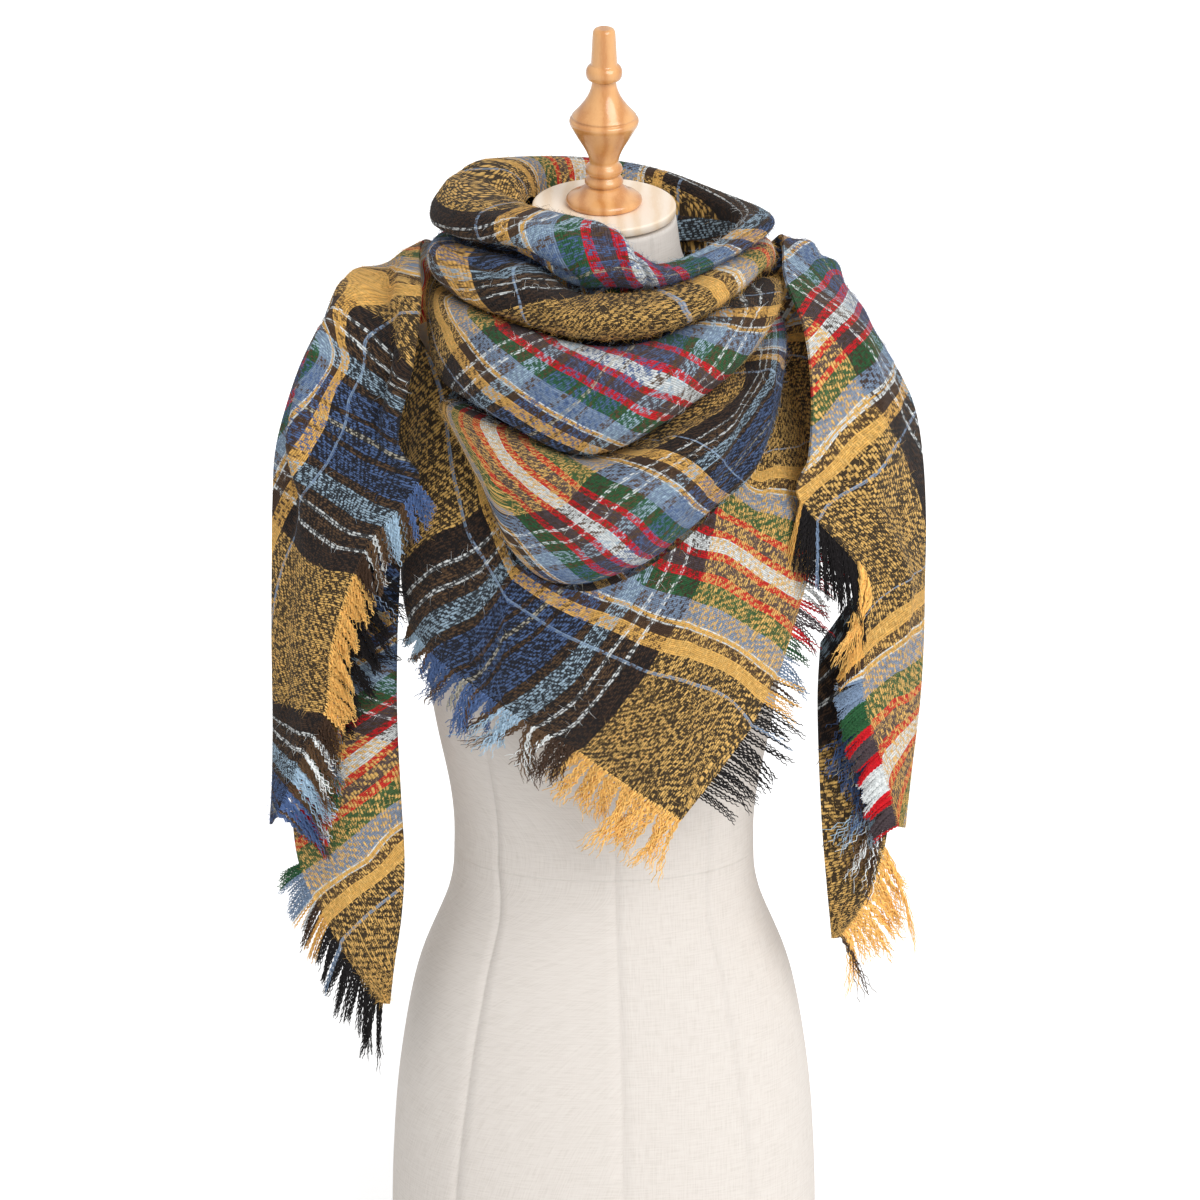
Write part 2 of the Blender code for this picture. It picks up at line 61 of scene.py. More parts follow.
# %% Camera
def add_object(name, data):
    """A new object with this data, linked into the scene."""
    made = bpy.data.objects.new(name, data)
    bpy.context.scene.collection.objects.link(made)
    return made


PITCH = math.radians(16)
DISTANCE = 3.10
FRAME_WIDTH = 0.924              # metres of the scene across the view at the form
TARGET = (-0.003, 0.0, 0.560)
EYE = (TARGET[0], TARGET[1] - DISTANCE * math.cos(PITCH),
       TARGET[2] + DISTANCE * math.sin(PITCH))
lens = bpy.data.cameras.new("camera")
lens.angle = 2 * math.atan(FRAME_WIDTH / 2 / DISTANCE)
lens.clip_end = 60
camera = add_object("camera", lens)
camera.location = EYE
camera.rotation_euler = (math.pi / 2 - PITCH, 0, 0)
bpy.context.scene.camera = camera
print("camera", tuple(round(value, 3) for value in camera.location))

# %% White sky and soft sun
SKY_LIGHT = 0.70                 # the sky's light on the cloth; the camera sees it as white
SUN_TOWARDS = (1.25, -1.6, 1.35)
SUN_STRENGTH, SUN_WIDTH = 1.8, 42   # the width is in degrees
LAMP_DISTANCE = 4                # metres, only so that the lamp stands clear of the form
sky = bpy.data.worlds.new("sky")
bpy.context.scene.world = sky
sky.use_nodes = True
sky_tree = sky.node_tree
backdrop = sky_tree.nodes["Background"]
backdrop.inputs["Color"].default_value = (1, 1, 1, 1)
seen = sky_tree.nodes.new("ShaderNodeLightPath")
level = sky_tree.nodes.new("ShaderNodeMapRange")
level.inputs["To Min"].default_value = SKY_LIGHT
sky_tree.links.new(seen.outputs["Is Camera Ray"], level.inputs["Value"])
sky_tree.links.new(level.outputs["Result"], backdrop.inputs["Strength"])
bpy.context.scene.view_settings.view_transform = "Standard"

light = bpy.data.lights.new("key", "SUN")
light.energy, light.angle = SUN_STRENGTH, math.radians(SUN_WIDTH)
lamp = add_object("key", light)
toward = np.array(SUN_TOWARDS) / np.linalg.norm(SUN_TOWARDS)
lamp.location = toward * LAMP_DISTANCE
lamp.rotation_euler = (math.acos(toward[2]), 0, math.atan2(toward[1], toward[0]) + math.pi / 2)


# %% White floor
def new_look(name):
    """A new material, with its node tree and its shader."""
    look = bpy.data.materials.new(name)
    look.use_nodes = True
    return look, look.node_tree, look.node_tree.nodes["Principled BSDF"]


FLOOR_RADIUS, FLOOR_SIDES = 40, 48   # metres, so that its edge is out of sight
white, white_tree, shader = new_look("white_floor")
shader.inputs["Base Color"].default_value = (0.94, 0.94, 0.94, 1)
shader.inputs["Roughness"].default_value = 0.9
# Only the camera sees the floor's glow, which burns its soft shadows out to white.
shader.inputs["Emission Color"].default_value = (0.4, 0.4, 0.4, 1)
looked_at = white_tree.nodes.new("ShaderNodeLightPath")
white_tree.links.new(looked_at.outputs["Is Camera Ray"], shader.inputs["Emission Strength"])
turn = np.linspace(0, 2 * np.pi, FLOOR_SIDES + 1)[:-1]
rim = np.stack((FLOOR_RADIUS * np.cos(turn), FLOOR_RADIUS * np.sin(turn), 0 * turn), axis=1)
floor_mesh = bpy.data.meshes.new("floor")
floor_mesh.from_pydata(rim.tolist(), [], [list(range(FLOOR_SIDES))])
floor_mesh.materials.append(white)
floor = add_object("floor", floor_mesh)
print("light comes from", [round(float(value), 2) for value in toward])

# %% [markdown]
# ## Reading a piece off a short table
# Each stretch of cloth is described by a few cuts through it, one row each. A smooth curve
# through the rows gives every cut between them, so the whole stretch is a surface of two
# numbers: how far along it a point is, and how far across.

# %% Curves through tables
def columns(table, names):
    """A table's columns, by their names."""
    return dict(zip(names, np.array(table, dtype=float).T))


def spline(table, where, closed=False):
    """Catmull-Rom curve through a table's rows, read at row positions such as 2.5:
    the cubic that leaves each row in the direction from the row before to the row after."""
    rows = np.array(table, dtype=float)
    base = np.floor(where).astype(int)
    if closed:
        before, start, end, after = (rows[(base + step) % len(rows)] for step in (-1, 0, 1, 2))
    else:
        base = np.clip(base, 0, len(rows) - 2)
        padded = np.vstack((2 * rows[0] - rows[1], rows, 2 * rows[-1] - rows[-2]))
        before, start, end, after = (padded[base + step] for step in (0, 1, 2, 3))
    t = (where - base)[:, None]
    return 0.5 * (2 * start + (end - before) * t
                  + (2 * before - 5 * start + 4 * end - after) * t ** 2
                  + (3 * start - before - 3 * end + after) * t ** 3)


def lerp(start, end, amount):
    """The point that lies the given share of the way from start to end."""
    return start + (end - start) * amount


def unit(vectors):
    """Vectors divided by their lengths."""
    return vectors / np.maximum(np.linalg.norm(vectors, axis=-1, keepdims=True), 1e-9)


def polar(bearing, radius, height):
    """Points at a bearing in degrees round the neck, 0 to the front and +90 to the right."""
    turned = np.radians(bearing)
    return np.stack((radius * np.sin(turned), -radius * np.cos(turned),
                     height + 0 * radius), axis=-1)


def outward_normals(grid, closed=False):
    """Unit normals of a grid of points: the cross product of its two directions, turned
    away from the upright axis of the form."""
    if closed:
        along = np.roll(grid, -1, axis=0) - np.roll(grid, 1, axis=0)
    else:
        along = np.gradient(grid, axis=0)
    normal = unit(np.cross(along, np.gradient(grid, axis=1)))
    from_axis = (grid - (0, FORM_AXIS_Y, 0)) * (1, 1, 0)
    return normal * np.sign((normal * from_axis).sum())


print("a quarter of the way along a table of 3 rows is row", 0.25 * 2)

# %% [markdown]
# ## Putting surfaces into meshes
# numpy makes all points, faces and pattern coordinates as whole arrays, and one call hands
# them to Blender. The pattern coordinates are the flat cloth's own: metres from its corner,
# so that one sheet of tartan runs through every stretch.

# %% Meshes from arrays
def faces_inward(points, faces):
    """True when a closed shell's faces point inwards: its volume, a sixth of the sum of each
    triangle's triple product, is then negative."""
    corner = points[faces]
    volume = (np.einsum("ij,ij->i", corner[:, 0], np.cross(corner[:, 1], corner[:, 2]))
              + np.einsum("ij,ij->i", corner[:, 0], np.cross(corner[:, 2], corner[:, 3])))
    return volume.sum() < 0


def mesh_piece(name, points, faces, coordinates, look, lids=()):
    """One mesh object from points in millimetres, faces of four corners, and a pattern
    coordinate for each corner of each face. Lids are faces with more corners, all at the
    pattern's start. All faces are turned outwards. The piece rides on the body."""
    lids = [list(lid) for lid in lids]
    if faces_inward(points, faces):
        faces, coordinates = faces[:, ::-1], coordinates[:, ::-1]
        lids = [lid[::-1] for lid in lids]
    mesh = bpy.data.meshes.new(name)
    mesh.from_pydata((points * MM).tolist(), [], faces.tolist() + lids)
    layer = mesh.uv_layers.new(name="cloth")
    at_start = np.zeros(2 * sum(len(lid) for lid in lids))
    layer.data.foreach_set("uv", np.append(coordinates, at_start).astype(np.float32))
    mesh.shade_smooth()
    mesh.materials.append(look)
    piece = add_object(name, mesh)
    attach(piece, "root")
    print(f"{name}: {len(points)} points, {len(faces)} faces")
    return piece


def grid_faces(rows, cells, closed):
    """Corner numbers of every square of a grid: point, next across, next along and across,
    next along. A closed grid's last row joins the first."""
    i = np.arange(rows if closed else rows - 1)[:, None]
    j = np.arange(cells - 1)[None, :]
    follow = (i + 1) % rows
    return np.stack((i * cells + j, i * cells + j + 1, follow * cells + j + 1,
                     follow * cells + j), axis=-1)


# %% Sheets of cloth
def cloth_shell(name, grid, chart, look, closed=False):
    """A sheet of cloth. The grid is its outer face, the inner face lies one cloth wall behind
    it along the normals, and strips join the two round the edges. The chart gives each
    grid point's place on the flat cloth; a closed one has one row more than the grid."""
    rows, cells = grid.shape[:2]
    count = rows * cells
    inner = grid - outward_normals(grid, closed) * CLOTH
    points = np.concatenate((grid.reshape(-1, 3), inner.reshape(-1, 3)))
    squares = grid_faces(rows, cells, closed)
    i = np.arange(squares.shape[0])[:, None]
    j = np.arange(cells - 1)[None, :]
    places = np.stack((chart[i, j], chart[i, j + 1], chart[i + 1, j + 1], chart[i + 1, j]), axis=2)
    faces, marks = [squares.reshape(-1, 4)], [places.reshape(-1, 4, 2)]
    faces.append(faces[0][:, ::-1] + count)
    marks.append(marks[0][:, ::-1])
    strips = [(squares[:, 0], places[:, 0], (3, 0)), (squares[:, -1], places[:, -1], (1, 2))]
    if not closed:
        strips += [(squares[0], places[0], (0, 1)), (squares[-1], places[-1], (2, 3))]
    for line, line_places, corners in strips:
        edge, mark = line[:, corners], line_places[:, corners]
        faces.append(np.concatenate((edge, edge[:, ::-1] + count), axis=1))
        marks.append(np.concatenate((mark, mark[:, ::-1]), axis=1))
    return mesh_piece(name, points, np.concatenate(faces), np.concatenate(marks), look)


# %% [markdown]
# ## Building materials from small groups
# A material is a recipe of nodes. Two helpers keep the recipes short: one adds a node and
# fills its inputs, the other does one sum. Effects that several materials share are node
# groups, built once.

# %% Node helpers
def node(tree, kind, inputs=None, **settings):
    """Adds a node. An input given as a socket is linked, one given as a value is set."""
    made = tree.nodes.new(kind)
    for label, value in settings.items():
        setattr(made, label, value)
    for label, value in (inputs or {}).items():
        if isinstance(value, bpy.types.NodeSocket):
            tree.links.new(value, made.inputs[label])
        else:
            made.inputs[label].default_value = value
    return made


def calc(tree, operation, *values):
    """One Math node on sockets or numbers, and its result."""
    made = node(tree, "ShaderNodeMath", dict(enumerate(values)), operation=operation)
    return made.outputs[0]


def mix(tree, share, first, second, blend="MIX"):
    """A colour between two colours."""
    made = node(tree, "ShaderNodeMix", data_type="RGBA", blend_type=blend)
    for place, value in ((0, share), (6, first), (7, second)):
        if isinstance(value, bpy.types.NodeSocket):
            tree.links.new(value, made.inputs[place])
        else:
            made.inputs[place].default_value = value
    return made.outputs[2]


def grey(tree, level):
    """A colour of one level in red, green and blue."""
    made = node(tree, "ShaderNodeCombineColor", {"Red": level, "Green": level, "Blue": level})
    return made.outputs["Color"]


def ramp(tree, place, stops, steps=False):
    """A colour ramp with stops of (place, colour), blended or in hard steps."""
    made = node(tree, "ShaderNodeValToRGB", {"Fac": place})
    band = made.color_ramp
    band.interpolation = "CONSTANT" if steps else "LINEAR"
    while len(band.elements) < len(stops):
        band.elements.new(1.0)
    for element, (start, colour) in zip(band.elements, stops):
        element.position = start
        element.color = (*colour, 1)
    return made.outputs["Color"]


def group(name, inputs, outputs):
    """An empty node group with named inputs and outputs."""
    tree = bpy.data.node_groups.new(name, "ShaderNodeTree")
    for label, kind in inputs:
        tree.interface.new_socket(label, in_out="INPUT", socket_type="NodeSocket" + kind)
    for label, kind in outputs:
        tree.interface.new_socket(label, in_out="OUTPUT", socket_type="NodeSocket" + kind)
    return tree, tree.nodes.new("NodeGroupInput").outputs, tree.nodes.new("NodeGroupOutput").inputs


def yarn(red, green, blue):
    """A dyer's colour of 0 to 255 as the linear colour that shaders use."""
    share = np.array((red, green, blue)) / 255
    return tuple(np.where(share < 0.04045, share / 12.92, ((share + 0.055) / 1.055) ** 2.4))


# %% [markdown]
# ## The tartan
# A tartan is two sets of stripes that cross. The weft stripes change along one side of the
# cloth and the warp stripes along the other. Both mirror about a centre stripe and repeat,
# so each set is a short list read back and forth. The yarns pass over two and under two,
# each pass one further along, which gives the diagonal of a twill. So a small patch of the
# cloth shows two colours as short dashes, and only like on like gives a solid colour.

# %% The two sets of stripes
CREAM, WHITE = yarn(170, 165, 150), yarn(220, 224, 224)
YELLOW, GOLD = yarn(224, 180, 104), yarn(222, 172, 92)
BLACK, UMBER, COCOA = yarn(30, 27, 28), yarn(70, 52, 40), yarn(92, 70, 50)
BLUE, PALE_BLUE, SLATE = yarn(80, 103, 146), yarn(160, 184, 202), yarn(126, 146, 172)
RED, GREEN, PLUM = yarn(205, 28, 38), yarn(44, 92, 56), yarn(80, 68, 72)

# Each stripe starts this many millimetres from the centre of its set.
WEFT_CENTRE, WEFT_HALF_REPEAT = 183.0, 142.5
WEFT_STRIPES = (
    (0, CREAM), (1.0, BLUE), (7, COCOA), (11, BLUE), (28, COCOA), (33.5, PALE_BLUE),
    (48, COCOA), (56, WHITE), (58.2, COCOA), (68, WHITE), (70.2, UMBER), (87.5, YELLOW),
)
WARP_CENTRE, WARP_HALF_REPEAT = 200.0, 154.0
WARP_STRIPES = (
    (0, WHITE), (6, RED), (12, PLUM), (22, RED), (28, GREEN), (45, SLATE), (61.5, WHITE),
    (63.5, GOLD), (66, WHITE), (68, UMBER), (76.5, GOLD), (87.5, BLACK), (104, SLATE),
    (106.2, BLACK),
)
WEFT_PITCH, WARP_PITCH = 1.55, 1.45   # from one yarn to the next


def stripe_set(tree, place, yarns, stripes, centre, half_repeat):
    """The colour of the yarn at a place in millimetres: its distance from the centre stripe,
    folded back and forth within half a repeat, picks the stripe. Every yarn has one colour
    for its whole width, a little lighter or darker than the next."""
    middle = calc(tree, "SUBTRACT", calc(tree, "MULTIPLY", calc(tree, "ADD", yarns, 0.5), place),
                  centre)
    folded = calc(tree, "DIVIDE", calc(tree, "PINGPONG", middle, half_repeat), half_repeat)
    dyed = ramp(tree, folded, [(start / half_repeat, colour) for start, colour in stripes], True)
    own = node(tree, "ShaderNodeTexWhiteNoise", {"W": yarns}, noise_dimensions="1D")
    shade = calc(tree, "MULTIPLY_ADD", own.outputs["Value"], 0.24, 0.86)
    return mix(tree, 1.0, dyed, grey(tree, shade), "MULTIPLY")


tartan, tartan_in, tartan_out = group(
    "tartan", [("Place", "Vector")],
    [("Weft", "Color"), ("Warp", "Color"), ("Woven", "Color"), ("Relief", "Float")])
drift = node(tartan, "ShaderNodeTexNoise", {"Vector": tartan_in["Place"], "Scale": 55.0,
                                            "Detail": 3.0}, noise_dimensions="2D")
straight = node(tartan, "ShaderNodeVectorMath", {0: drift.outputs["Color"], 1: (0.5, 0.5, 0.5)},
                operation="SUBTRACT")
sway = node(tartan, "ShaderNodeVectorMath", {0: straight.outputs[0], "Scale": 0.0013},
            operation="SCALE")
laid = node(tartan, "ShaderNodeVectorMath", {0: tartan_in["Place"], 1: sway.outputs[0]},
            operation="ADD")
place = node(tartan, "ShaderNodeSeparateXYZ", {0: laid.outputs[0]})
weft_at = calc(tartan, "DIVIDE", place.outputs["X"], WEFT_PITCH * MM)
warp_at = calc(tartan, "DIVIDE", place.outputs["Y"], WARP_PITCH * MM)
weft_yarn, warp_yarn = calc(tartan, "FLOOR", weft_at), calc(tartan, "FLOOR", warp_at)
weft_colour = stripe_set(tartan, WEFT_PITCH, weft_yarn, WEFT_STRIPES, WEFT_CENTRE,
                         WEFT_HALF_REPEAT)
warp_colour = stripe_set(tartan, WARP_PITCH, warp_yarn, WARP_STRIPES, WARP_CENTRE,
                         WARP_HALF_REPEAT)

# %% The weave: which yarn is on top, and how high it stands
WEFT_SHARE = 0.385                # of the face that the weft floats cover
own_start = node(tartan, "ShaderNodeTexWhiteNoise", {"W": weft_yarn}, noise_dimensions="1D")
dash = calc(tartan, "FLOOR", calc(tartan, "MULTIPLY_ADD", own_start.outputs["Value"], 2.0,
                                  calc(tartan, "MULTIPLY", warp_yarn, 0.55)))
cell = node(tartan, "ShaderNodeCombineXYZ", {"X": weft_yarn, "Y": dash})
pick = node(tartan, "ShaderNodeTexWhiteNoise", {"Vector": cell.outputs[0]},
            noise_dimensions="2D")
twill = calc(tartan, "MULTIPLY", calc(tartan, "PINGPONG", calc(tartan, "ADD", weft_yarn,
                                                               warp_yarn), 2.0), 0.5)
hairs = node(tartan, "ShaderNodeTexNoise", {"Vector": tartan_in["Place"], "Scale": 1100.0,
                                            "Detail": 3.0, "Roughness": 0.7},
             noise_dimensions="2D")
ragged = calc(tartan, "MULTIPLY_ADD", hairs.outputs["Fac"], 1.0, -0.50)
weft_round = calc(tartan, "SINE", calc(tartan, "MULTIPLY", calc(tartan, "FRACT", weft_at), math.pi))
warp_round = calc(tartan, "SINE", calc(tartan, "MULTIPLY", calc(tartan, "FRACT", warp_at), math.pi))
# Between two weft yarns the warp shows through.
ragged = calc(tartan, "MULTIPLY_ADD", weft_round, -0.30, calc(tartan, "ADD", ragged, 0.19))
order = calc(tartan, "ADD", calc(tartan, "MULTIPLY_ADD", twill, 0.35,
                                 calc(tartan, "MULTIPLY", pick.outputs["Value"], 0.65)), ragged)
on_top = node(tartan, "ShaderNodeMapRange", {"Value": order, "From Min": WEFT_SHARE + 0.09,
                                             "From Max": WEFT_SHARE - 0.09})
crown = node(tartan, "ShaderNodeMix", {0: on_top.outputs["Result"], 2: warp_round, 3: weft_round},
             data_type="FLOAT")
# Painted shade and light: the colour darkens to 0.58 where one yarn meets the next and is lifted a
# little on each yarn's crown.
between = calc(tartan, "MULTIPLY_ADD", crown.outputs[0], 0.55, 0.58)
painted_yarn_shade = grey(tartan, between)
woven = mix(tartan, 1.0, mix(tartan, on_top.outputs["Result"], warp_colour, weft_colour),
            painted_yarn_shade, "MULTIPLY")
# Brushed-up hairs of both yarns lie over the weave.
mingled = mix(tartan, 0.5, warp_colour, weft_colour)
woven = mix(tartan, 0.11, woven, mingled)
relief = calc(tartan, "MULTIPLY_ADD", hairs.outputs["Fac"], 0.8, crown.outputs[0])
for label, socket in (("Weft", weft_colour), ("Warp", warp_colour), ("Woven", woven),
                      ("Relief", relief)):
    tartan.links.new(socket, tartan_out[label])
print("tartan repeats every", 2 * WEFT_HALF_REPEAT, "by", 2 * WARP_HALF_REPEAT, "mm")

# %% [markdown]
# ## Nap
# Brushing pulls loose hairs out of the yarns. They blur the weave, lighten the cloth in
# streaks and give its edges a pale halo. The streaks are a noise that multiplies the
# colour, and the halo is the shader's own sheen.

# %% Brushed cloth and fringe materials
nap, nap_in, nap_out = group("nap", [("Place", "Vector"), ("Colour", "Color")],
                             [("Colour", "Color")])
streaks = node(nap, "ShaderNodeTexNoise", {"Vector": nap_in["Place"], "Scale": 420.0,
                                           "Detail": 4.0, "Roughness": 0.65},
               noise_dimensions="2D")
felted = ramp(nap, streaks.outputs["Fac"], [(0.25, (0.62, 0.62, 0.62)), (0.5, (0.95, 0.95, 0.95)),
                                            (0.8, (1.35, 1.33, 1.3))])
nap.links.new(mix(nap, 1.0, nap_in["Colour"], felted, "MULTIPLY"), nap_out["Colour"])


def yarn_look(name, shows, bump, painted_light_gain=1.0):
    """A soft material that shows one output of the tartan: the cloth, or one set's yarns.
    Loose ends show one yarn with no dark yarn behind it. A gain above 1 lightens them beyond
    that yarn's own colour: painted light against the shade among the ends."""
    look, tree, shader = new_look(name)
    where = node(tree, "ShaderNodeUVMap", uv_map="cloth").outputs["UV"]
    cloth = node(tree, "ShaderNodeGroup", node_tree=tartan)
    tree.links.new(where, cloth.inputs["Place"])
    brushed = node(tree, "ShaderNodeGroup", node_tree=nap)
    tree.links.new(where, brushed.inputs["Place"])
    tree.links.new(cloth.outputs[shows], brushed.inputs["Colour"])
    shown = brushed.outputs["Colour"]
    if painted_light_gain != 1.0:
        shown = mix(tree, 1.0, shown, (painted_light_gain, painted_light_gain, painted_light_gain, 1), "MULTIPLY")
    tree.links.new(shown, shader.inputs["Base Color"])
    raised = node(tree, "ShaderNodeBump", {"Height": cloth.outputs["Relief"], "Strength": bump,
                                           "Distance": 0.0011})
    tree.links.new(raised.outputs["Normal"], shader.inputs["Normal"])
    shader.inputs["Roughness"].default_value = 0.92
    shader.inputs["Specular IOR Level"].default_value = 0.2
    shader.inputs["Sheen Weight"].default_value = 0.06
    shader.inputs["Sheen Roughness"].default_value = 0.45
    return look


tartan_cloth = yarn_look("tartan_cloth", "Woven", 0.55)
# Painted light: the last number lifts the loose ends' colour above their yarns' own.
weft_ends = yarn_look("weft_ends", "Weft", 0.15, 1.45)
warp_ends = yarn_look("warp_ends", "Warp", 0.15, 1.1)
print("yarn materials", tartan_cloth.name, weft_ends.name, warp_ends.name)

# %% [markdown]
# ## The dress form
# The form is a padded body of superellipse sections covered in unbleached canvas. The
# canvas is cut in panels, and the seams run where a tailor needs them: down the middle, over
# the bust on each side and round the waist. Each seam is a narrow trough, so the surface has
# three columns of points just there and wide ones elsewhere.

# %% Body sections and seams
TORSO_COLUMNS = ("z", "half_width", "half_depth", "middle_y", "power")
TORSO = (
    (0, 168, 121, 4, 2.2),
    (45, 170, 123, 5, 2.2),
    (110, 168, 122, 6, 2.2),
    (180, 162, 116, 6, 2.2),
    (260, 147, 103, 4, 2.15),
    (325, 122, 90, 1, 2.1),
    (365, 117, 86, -2, 2.1),
    (410, 119, 89, -5, 2.1),
    (475, 131, 102, -9, 2.15),
    (545, 140, 114, -13, 2.2),
    (620, 144, 108, -9, 2.2),
    (690, 156, 90, -1, 2.2),
    (738, 172, 66, 7, 2.2),
    (764, 160, 57, 8, 2.2),
    (784, 112, 56, 5, 2.1),
    (804, 76, 57, 2, 2.0),
    (828, 60, 56, 0, 2.0),
    (860, 54, 53, 0, 2.0),
)
# Bearings of the upright seams from the front middle, in degrees, at some heights.
SEAM_COLUMNS = ("z", "centre", "front", "side", "back")
BODY_SEAMS = (
    (0, 4, 43, 92, 140),
    (110, 4, 41, 92, 140),
    (180, 4, 39, 92, 142),
    (260, 4, 38, 91, 146),
    (325, 4, 40, 91, 148),
    (365, 4, 43, 90, 148),
    (475, 4, 42, 90, 146),
    (620, 4, 38, 90, 144),
    (738, 4, 36, 90, 148),
    (860, 4, 40, 90, 150),
)
SEAM_DEPTH, SEAM_HALF = 0.9, 0.55          # millimetres deep, degrees to each side
WAIST_Z = 362.0
NECK_TOP, NECK_FLOOR, NECK_TILT = 869.0, 800.0, math.radians(11.0)
CAP_WALL, SEAM_GAP = 7.0, 0.3
PANEL_COLUMNS = 14
BODY_RINGS = 150


# %% The body's surface
def body_surface():
    """The body: x = half width * |cos|^p * sign, y = half depth * |sin|^p * sign with
    p = 2 / power, its turn read through the seams' bearings so that columns lie on them.
    Near a seam the surface drops by SEAM_DEPTH."""
    rows = len(TORSO)
    where = np.linspace(0, rows - 1, BODY_RINGS)
    waist_row = np.interp(WAIST_Z, [row[0] for row in TORSO], np.arange(rows))
    where = np.sort(np.append(where, waist_row + np.array((-0.03, 0.0, 0.03))))
    cut = {name: values[:, None]
           for name, values in columns(spline(TORSO, where), TORSO_COLUMNS).items()}
    seams = columns(BODY_SEAMS, SEAM_COLUMNS)
    at = {name: np.interp(cut["z"][:, 0], seams["z"], seams[name])[:, None]
          for name in SEAM_COLUMNS[1:]}
    lines = np.concatenate((at["centre"], at["front"], at["side"], at["back"],
                            180 + 0 * at["centre"], 360 - at["back"], 360 - at["side"],
                            360 - at["front"], 360 + at["centre"]), axis=1)
    bearing, depth = [], []
    for panel in range(lines.shape[1] - 1):
        start, end = lines[:, panel:panel + 1], lines[:, panel + 1:panel + 2]
        inside = np.linspace(0, 1, PANEL_COLUMNS)[None, :]
        bearing += [start, lerp(start + SEAM_HALF, end - SEAM_HALF, inside)]
        depth += [np.ones((1, 1)), np.zeros((1, PANEL_COLUMNS))]
    turned = np.radians(np.concatenate(bearing, axis=1) - 90)
    dip = SEAM_DEPTH * np.concatenate(depth, axis=1)
    dip = dip + 0.5 * SEAM_DEPTH * np.isclose(where, waist_row)[:, None]
    power = 2 / cut["power"]
    x = (cut["half_width"] - dip) * np.sign(np.cos(turned)) * np.abs(np.cos(turned)) ** power
    y = (cut["half_depth"] - dip) * np.sign(np.sin(turned)) * np.abs(np.sin(turned)) ** power
    neck_height = NECK_TOP - CAP_WALL - 2 * SEAM_GAP - NECK_FLOOR
    lean = np.clip((cut["z"] - NECK_FLOOR) / neck_height, 0, 1)
    z = cut["z"] + y * math.tan(NECK_TILT) * lean
    return np.stack((x, y + cut["middle_y"], z), axis=-1)


# %% [markdown]
# A closed body of rings needs its two ends covered. Each end is closed with rings that
# shrink to its middle, so that the faces stay square and shade evenly.

# %% Rings into a closed mesh
END_RINGS = (0.985, 0.9, 0.6, 0.02)


def closed_rings(name, rings, look):
    """A tube of rings whose ends are covered by smaller copies of the end rings. The pattern
    coordinate is metres round the ring and metres along the profile."""
    first, last = (end.mean(axis=0, keepdims=True) for end in (rings[0], rings[-1]))
    bottom = np.array([first + (rings[0] - first) * share for share in END_RINGS[::-1]])
    top = np.array([last + (rings[-1] - last) * share for share in END_RINGS])
    grid = np.concatenate((bottom, rings, top))
    sides = grid.shape[1]
    i, j = np.arange(len(grid) - 1)[:, None], np.arange(sides)[None, :]
    follow = (j + 1) % sides
    faces = np.stack((i * sides + j, i * sides + follow, (i + 1) * sides + follow,
                      (i + 1) * sides + j), axis=-1).reshape(-1, 4)
    round_step = np.linalg.norm(np.roll(grid, -1, axis=1) - grid, axis=2)
    across = np.cumsum(np.pad(round_step, ((0, 0), (1, 0))), axis=1) * MM
    up_step = np.linalg.norm(np.diff(grid, axis=0), axis=2).mean(axis=1)
    up = np.repeat(np.append(0, np.cumsum(up_step))[:, None] * MM, sides + 1, axis=1)
    chart = np.stack((across, up), axis=-1)
    marks = np.stack((chart[:-1, :-1], chart[:-1, 1:], chart[1:, 1:], chart[1:, :-1]),
                     axis=2).reshape(-1, 4, 2)
    points = grid.reshape(-1, 3)
    lids = (range(sides)[::-1], range(len(points) - sides, len(points)))
    return mesh_piece(name, points, faces, marks, look, lids)


# %% [markdown]
# ## Canvas
# Unbleached canvas is a plain weave: over one, under one, about 15 threads to the
# centimetre. Its threads vary in thickness, and the odd slub is darker.

# %% Canvas material
THREADS_PER_METRE = 1500.0
canvas, tree, shader = new_look("canvas")
where = node(tree, "ShaderNodeUVMap", uv_map="cloth").outputs["UV"]
threads = node(tree, "ShaderNodeVectorMath", {0: where, "Scale": THREADS_PER_METRE},
               operation="SCALE")
split = node(tree, "ShaderNodeSeparateXYZ", {0: threads.outputs[0]})
checks = node(tree, "ShaderNodeTexChecker", {"Vector": threads.outputs[0], "Scale": 1.0})
crowns = [calc(tree, "SINE", calc(tree, "MULTIPLY", calc(tree, "FRACT", split.outputs[axis]),
                                  math.pi)) for axis in ("X", "Y")]
weave_height = node(tree, "ShaderNodeMix", {0: checks.outputs["Fac"], 2: crowns[0], 3: crowns[1]},
                    data_type="FLOAT").outputs[0]
stretched = node(tree, "ShaderNodeMapping", {"Vector": where, "Scale": (900, 60, 1)})
slubs = node(tree, "ShaderNodeTexNoise", {"Vector": stretched.outputs[0], "Scale": 1.0,
                                          "Detail": 2.0}, noise_dimensions="2D")
crossing = node(tree, "ShaderNodeMapping", {"Vector": where, "Scale": (60, 900, 1)})
cross_slubs = node(tree, "ShaderNodeTexNoise", {"Vector": crossing.outputs[0], "Scale": 1.0,
                                                "Detail": 2.0}, noise_dimensions="2D")
uneven = calc(tree, "MULTIPLY", calc(tree, "ADD", slubs.outputs["Fac"],
                                     cross_slubs.outputs["Fac"]), 0.5)
cream = ramp(tree, uneven, [(0.3, yarn(212, 205, 197)), (0.5, yarn(221, 214, 207)),
                            (0.7, yarn(225, 219, 212))])
tree.links.new(cream, shader.inputs["Base Color"])
canvas_bump = node(tree, "ShaderNodeBump", {"Height": weave_height, "Strength": 0.25,
                                            "Distance": 0.0004})
tree.links.new(canvas_bump.outputs["Normal"], shader.inputs["Normal"])
shader.inputs["Roughness"].default_value = 0.9
shader.inputs["Specular IOR Level"].default_value = 0.25

form_body = closed_rings("form_body", body_surface(), canvas)
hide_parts("form_torso")

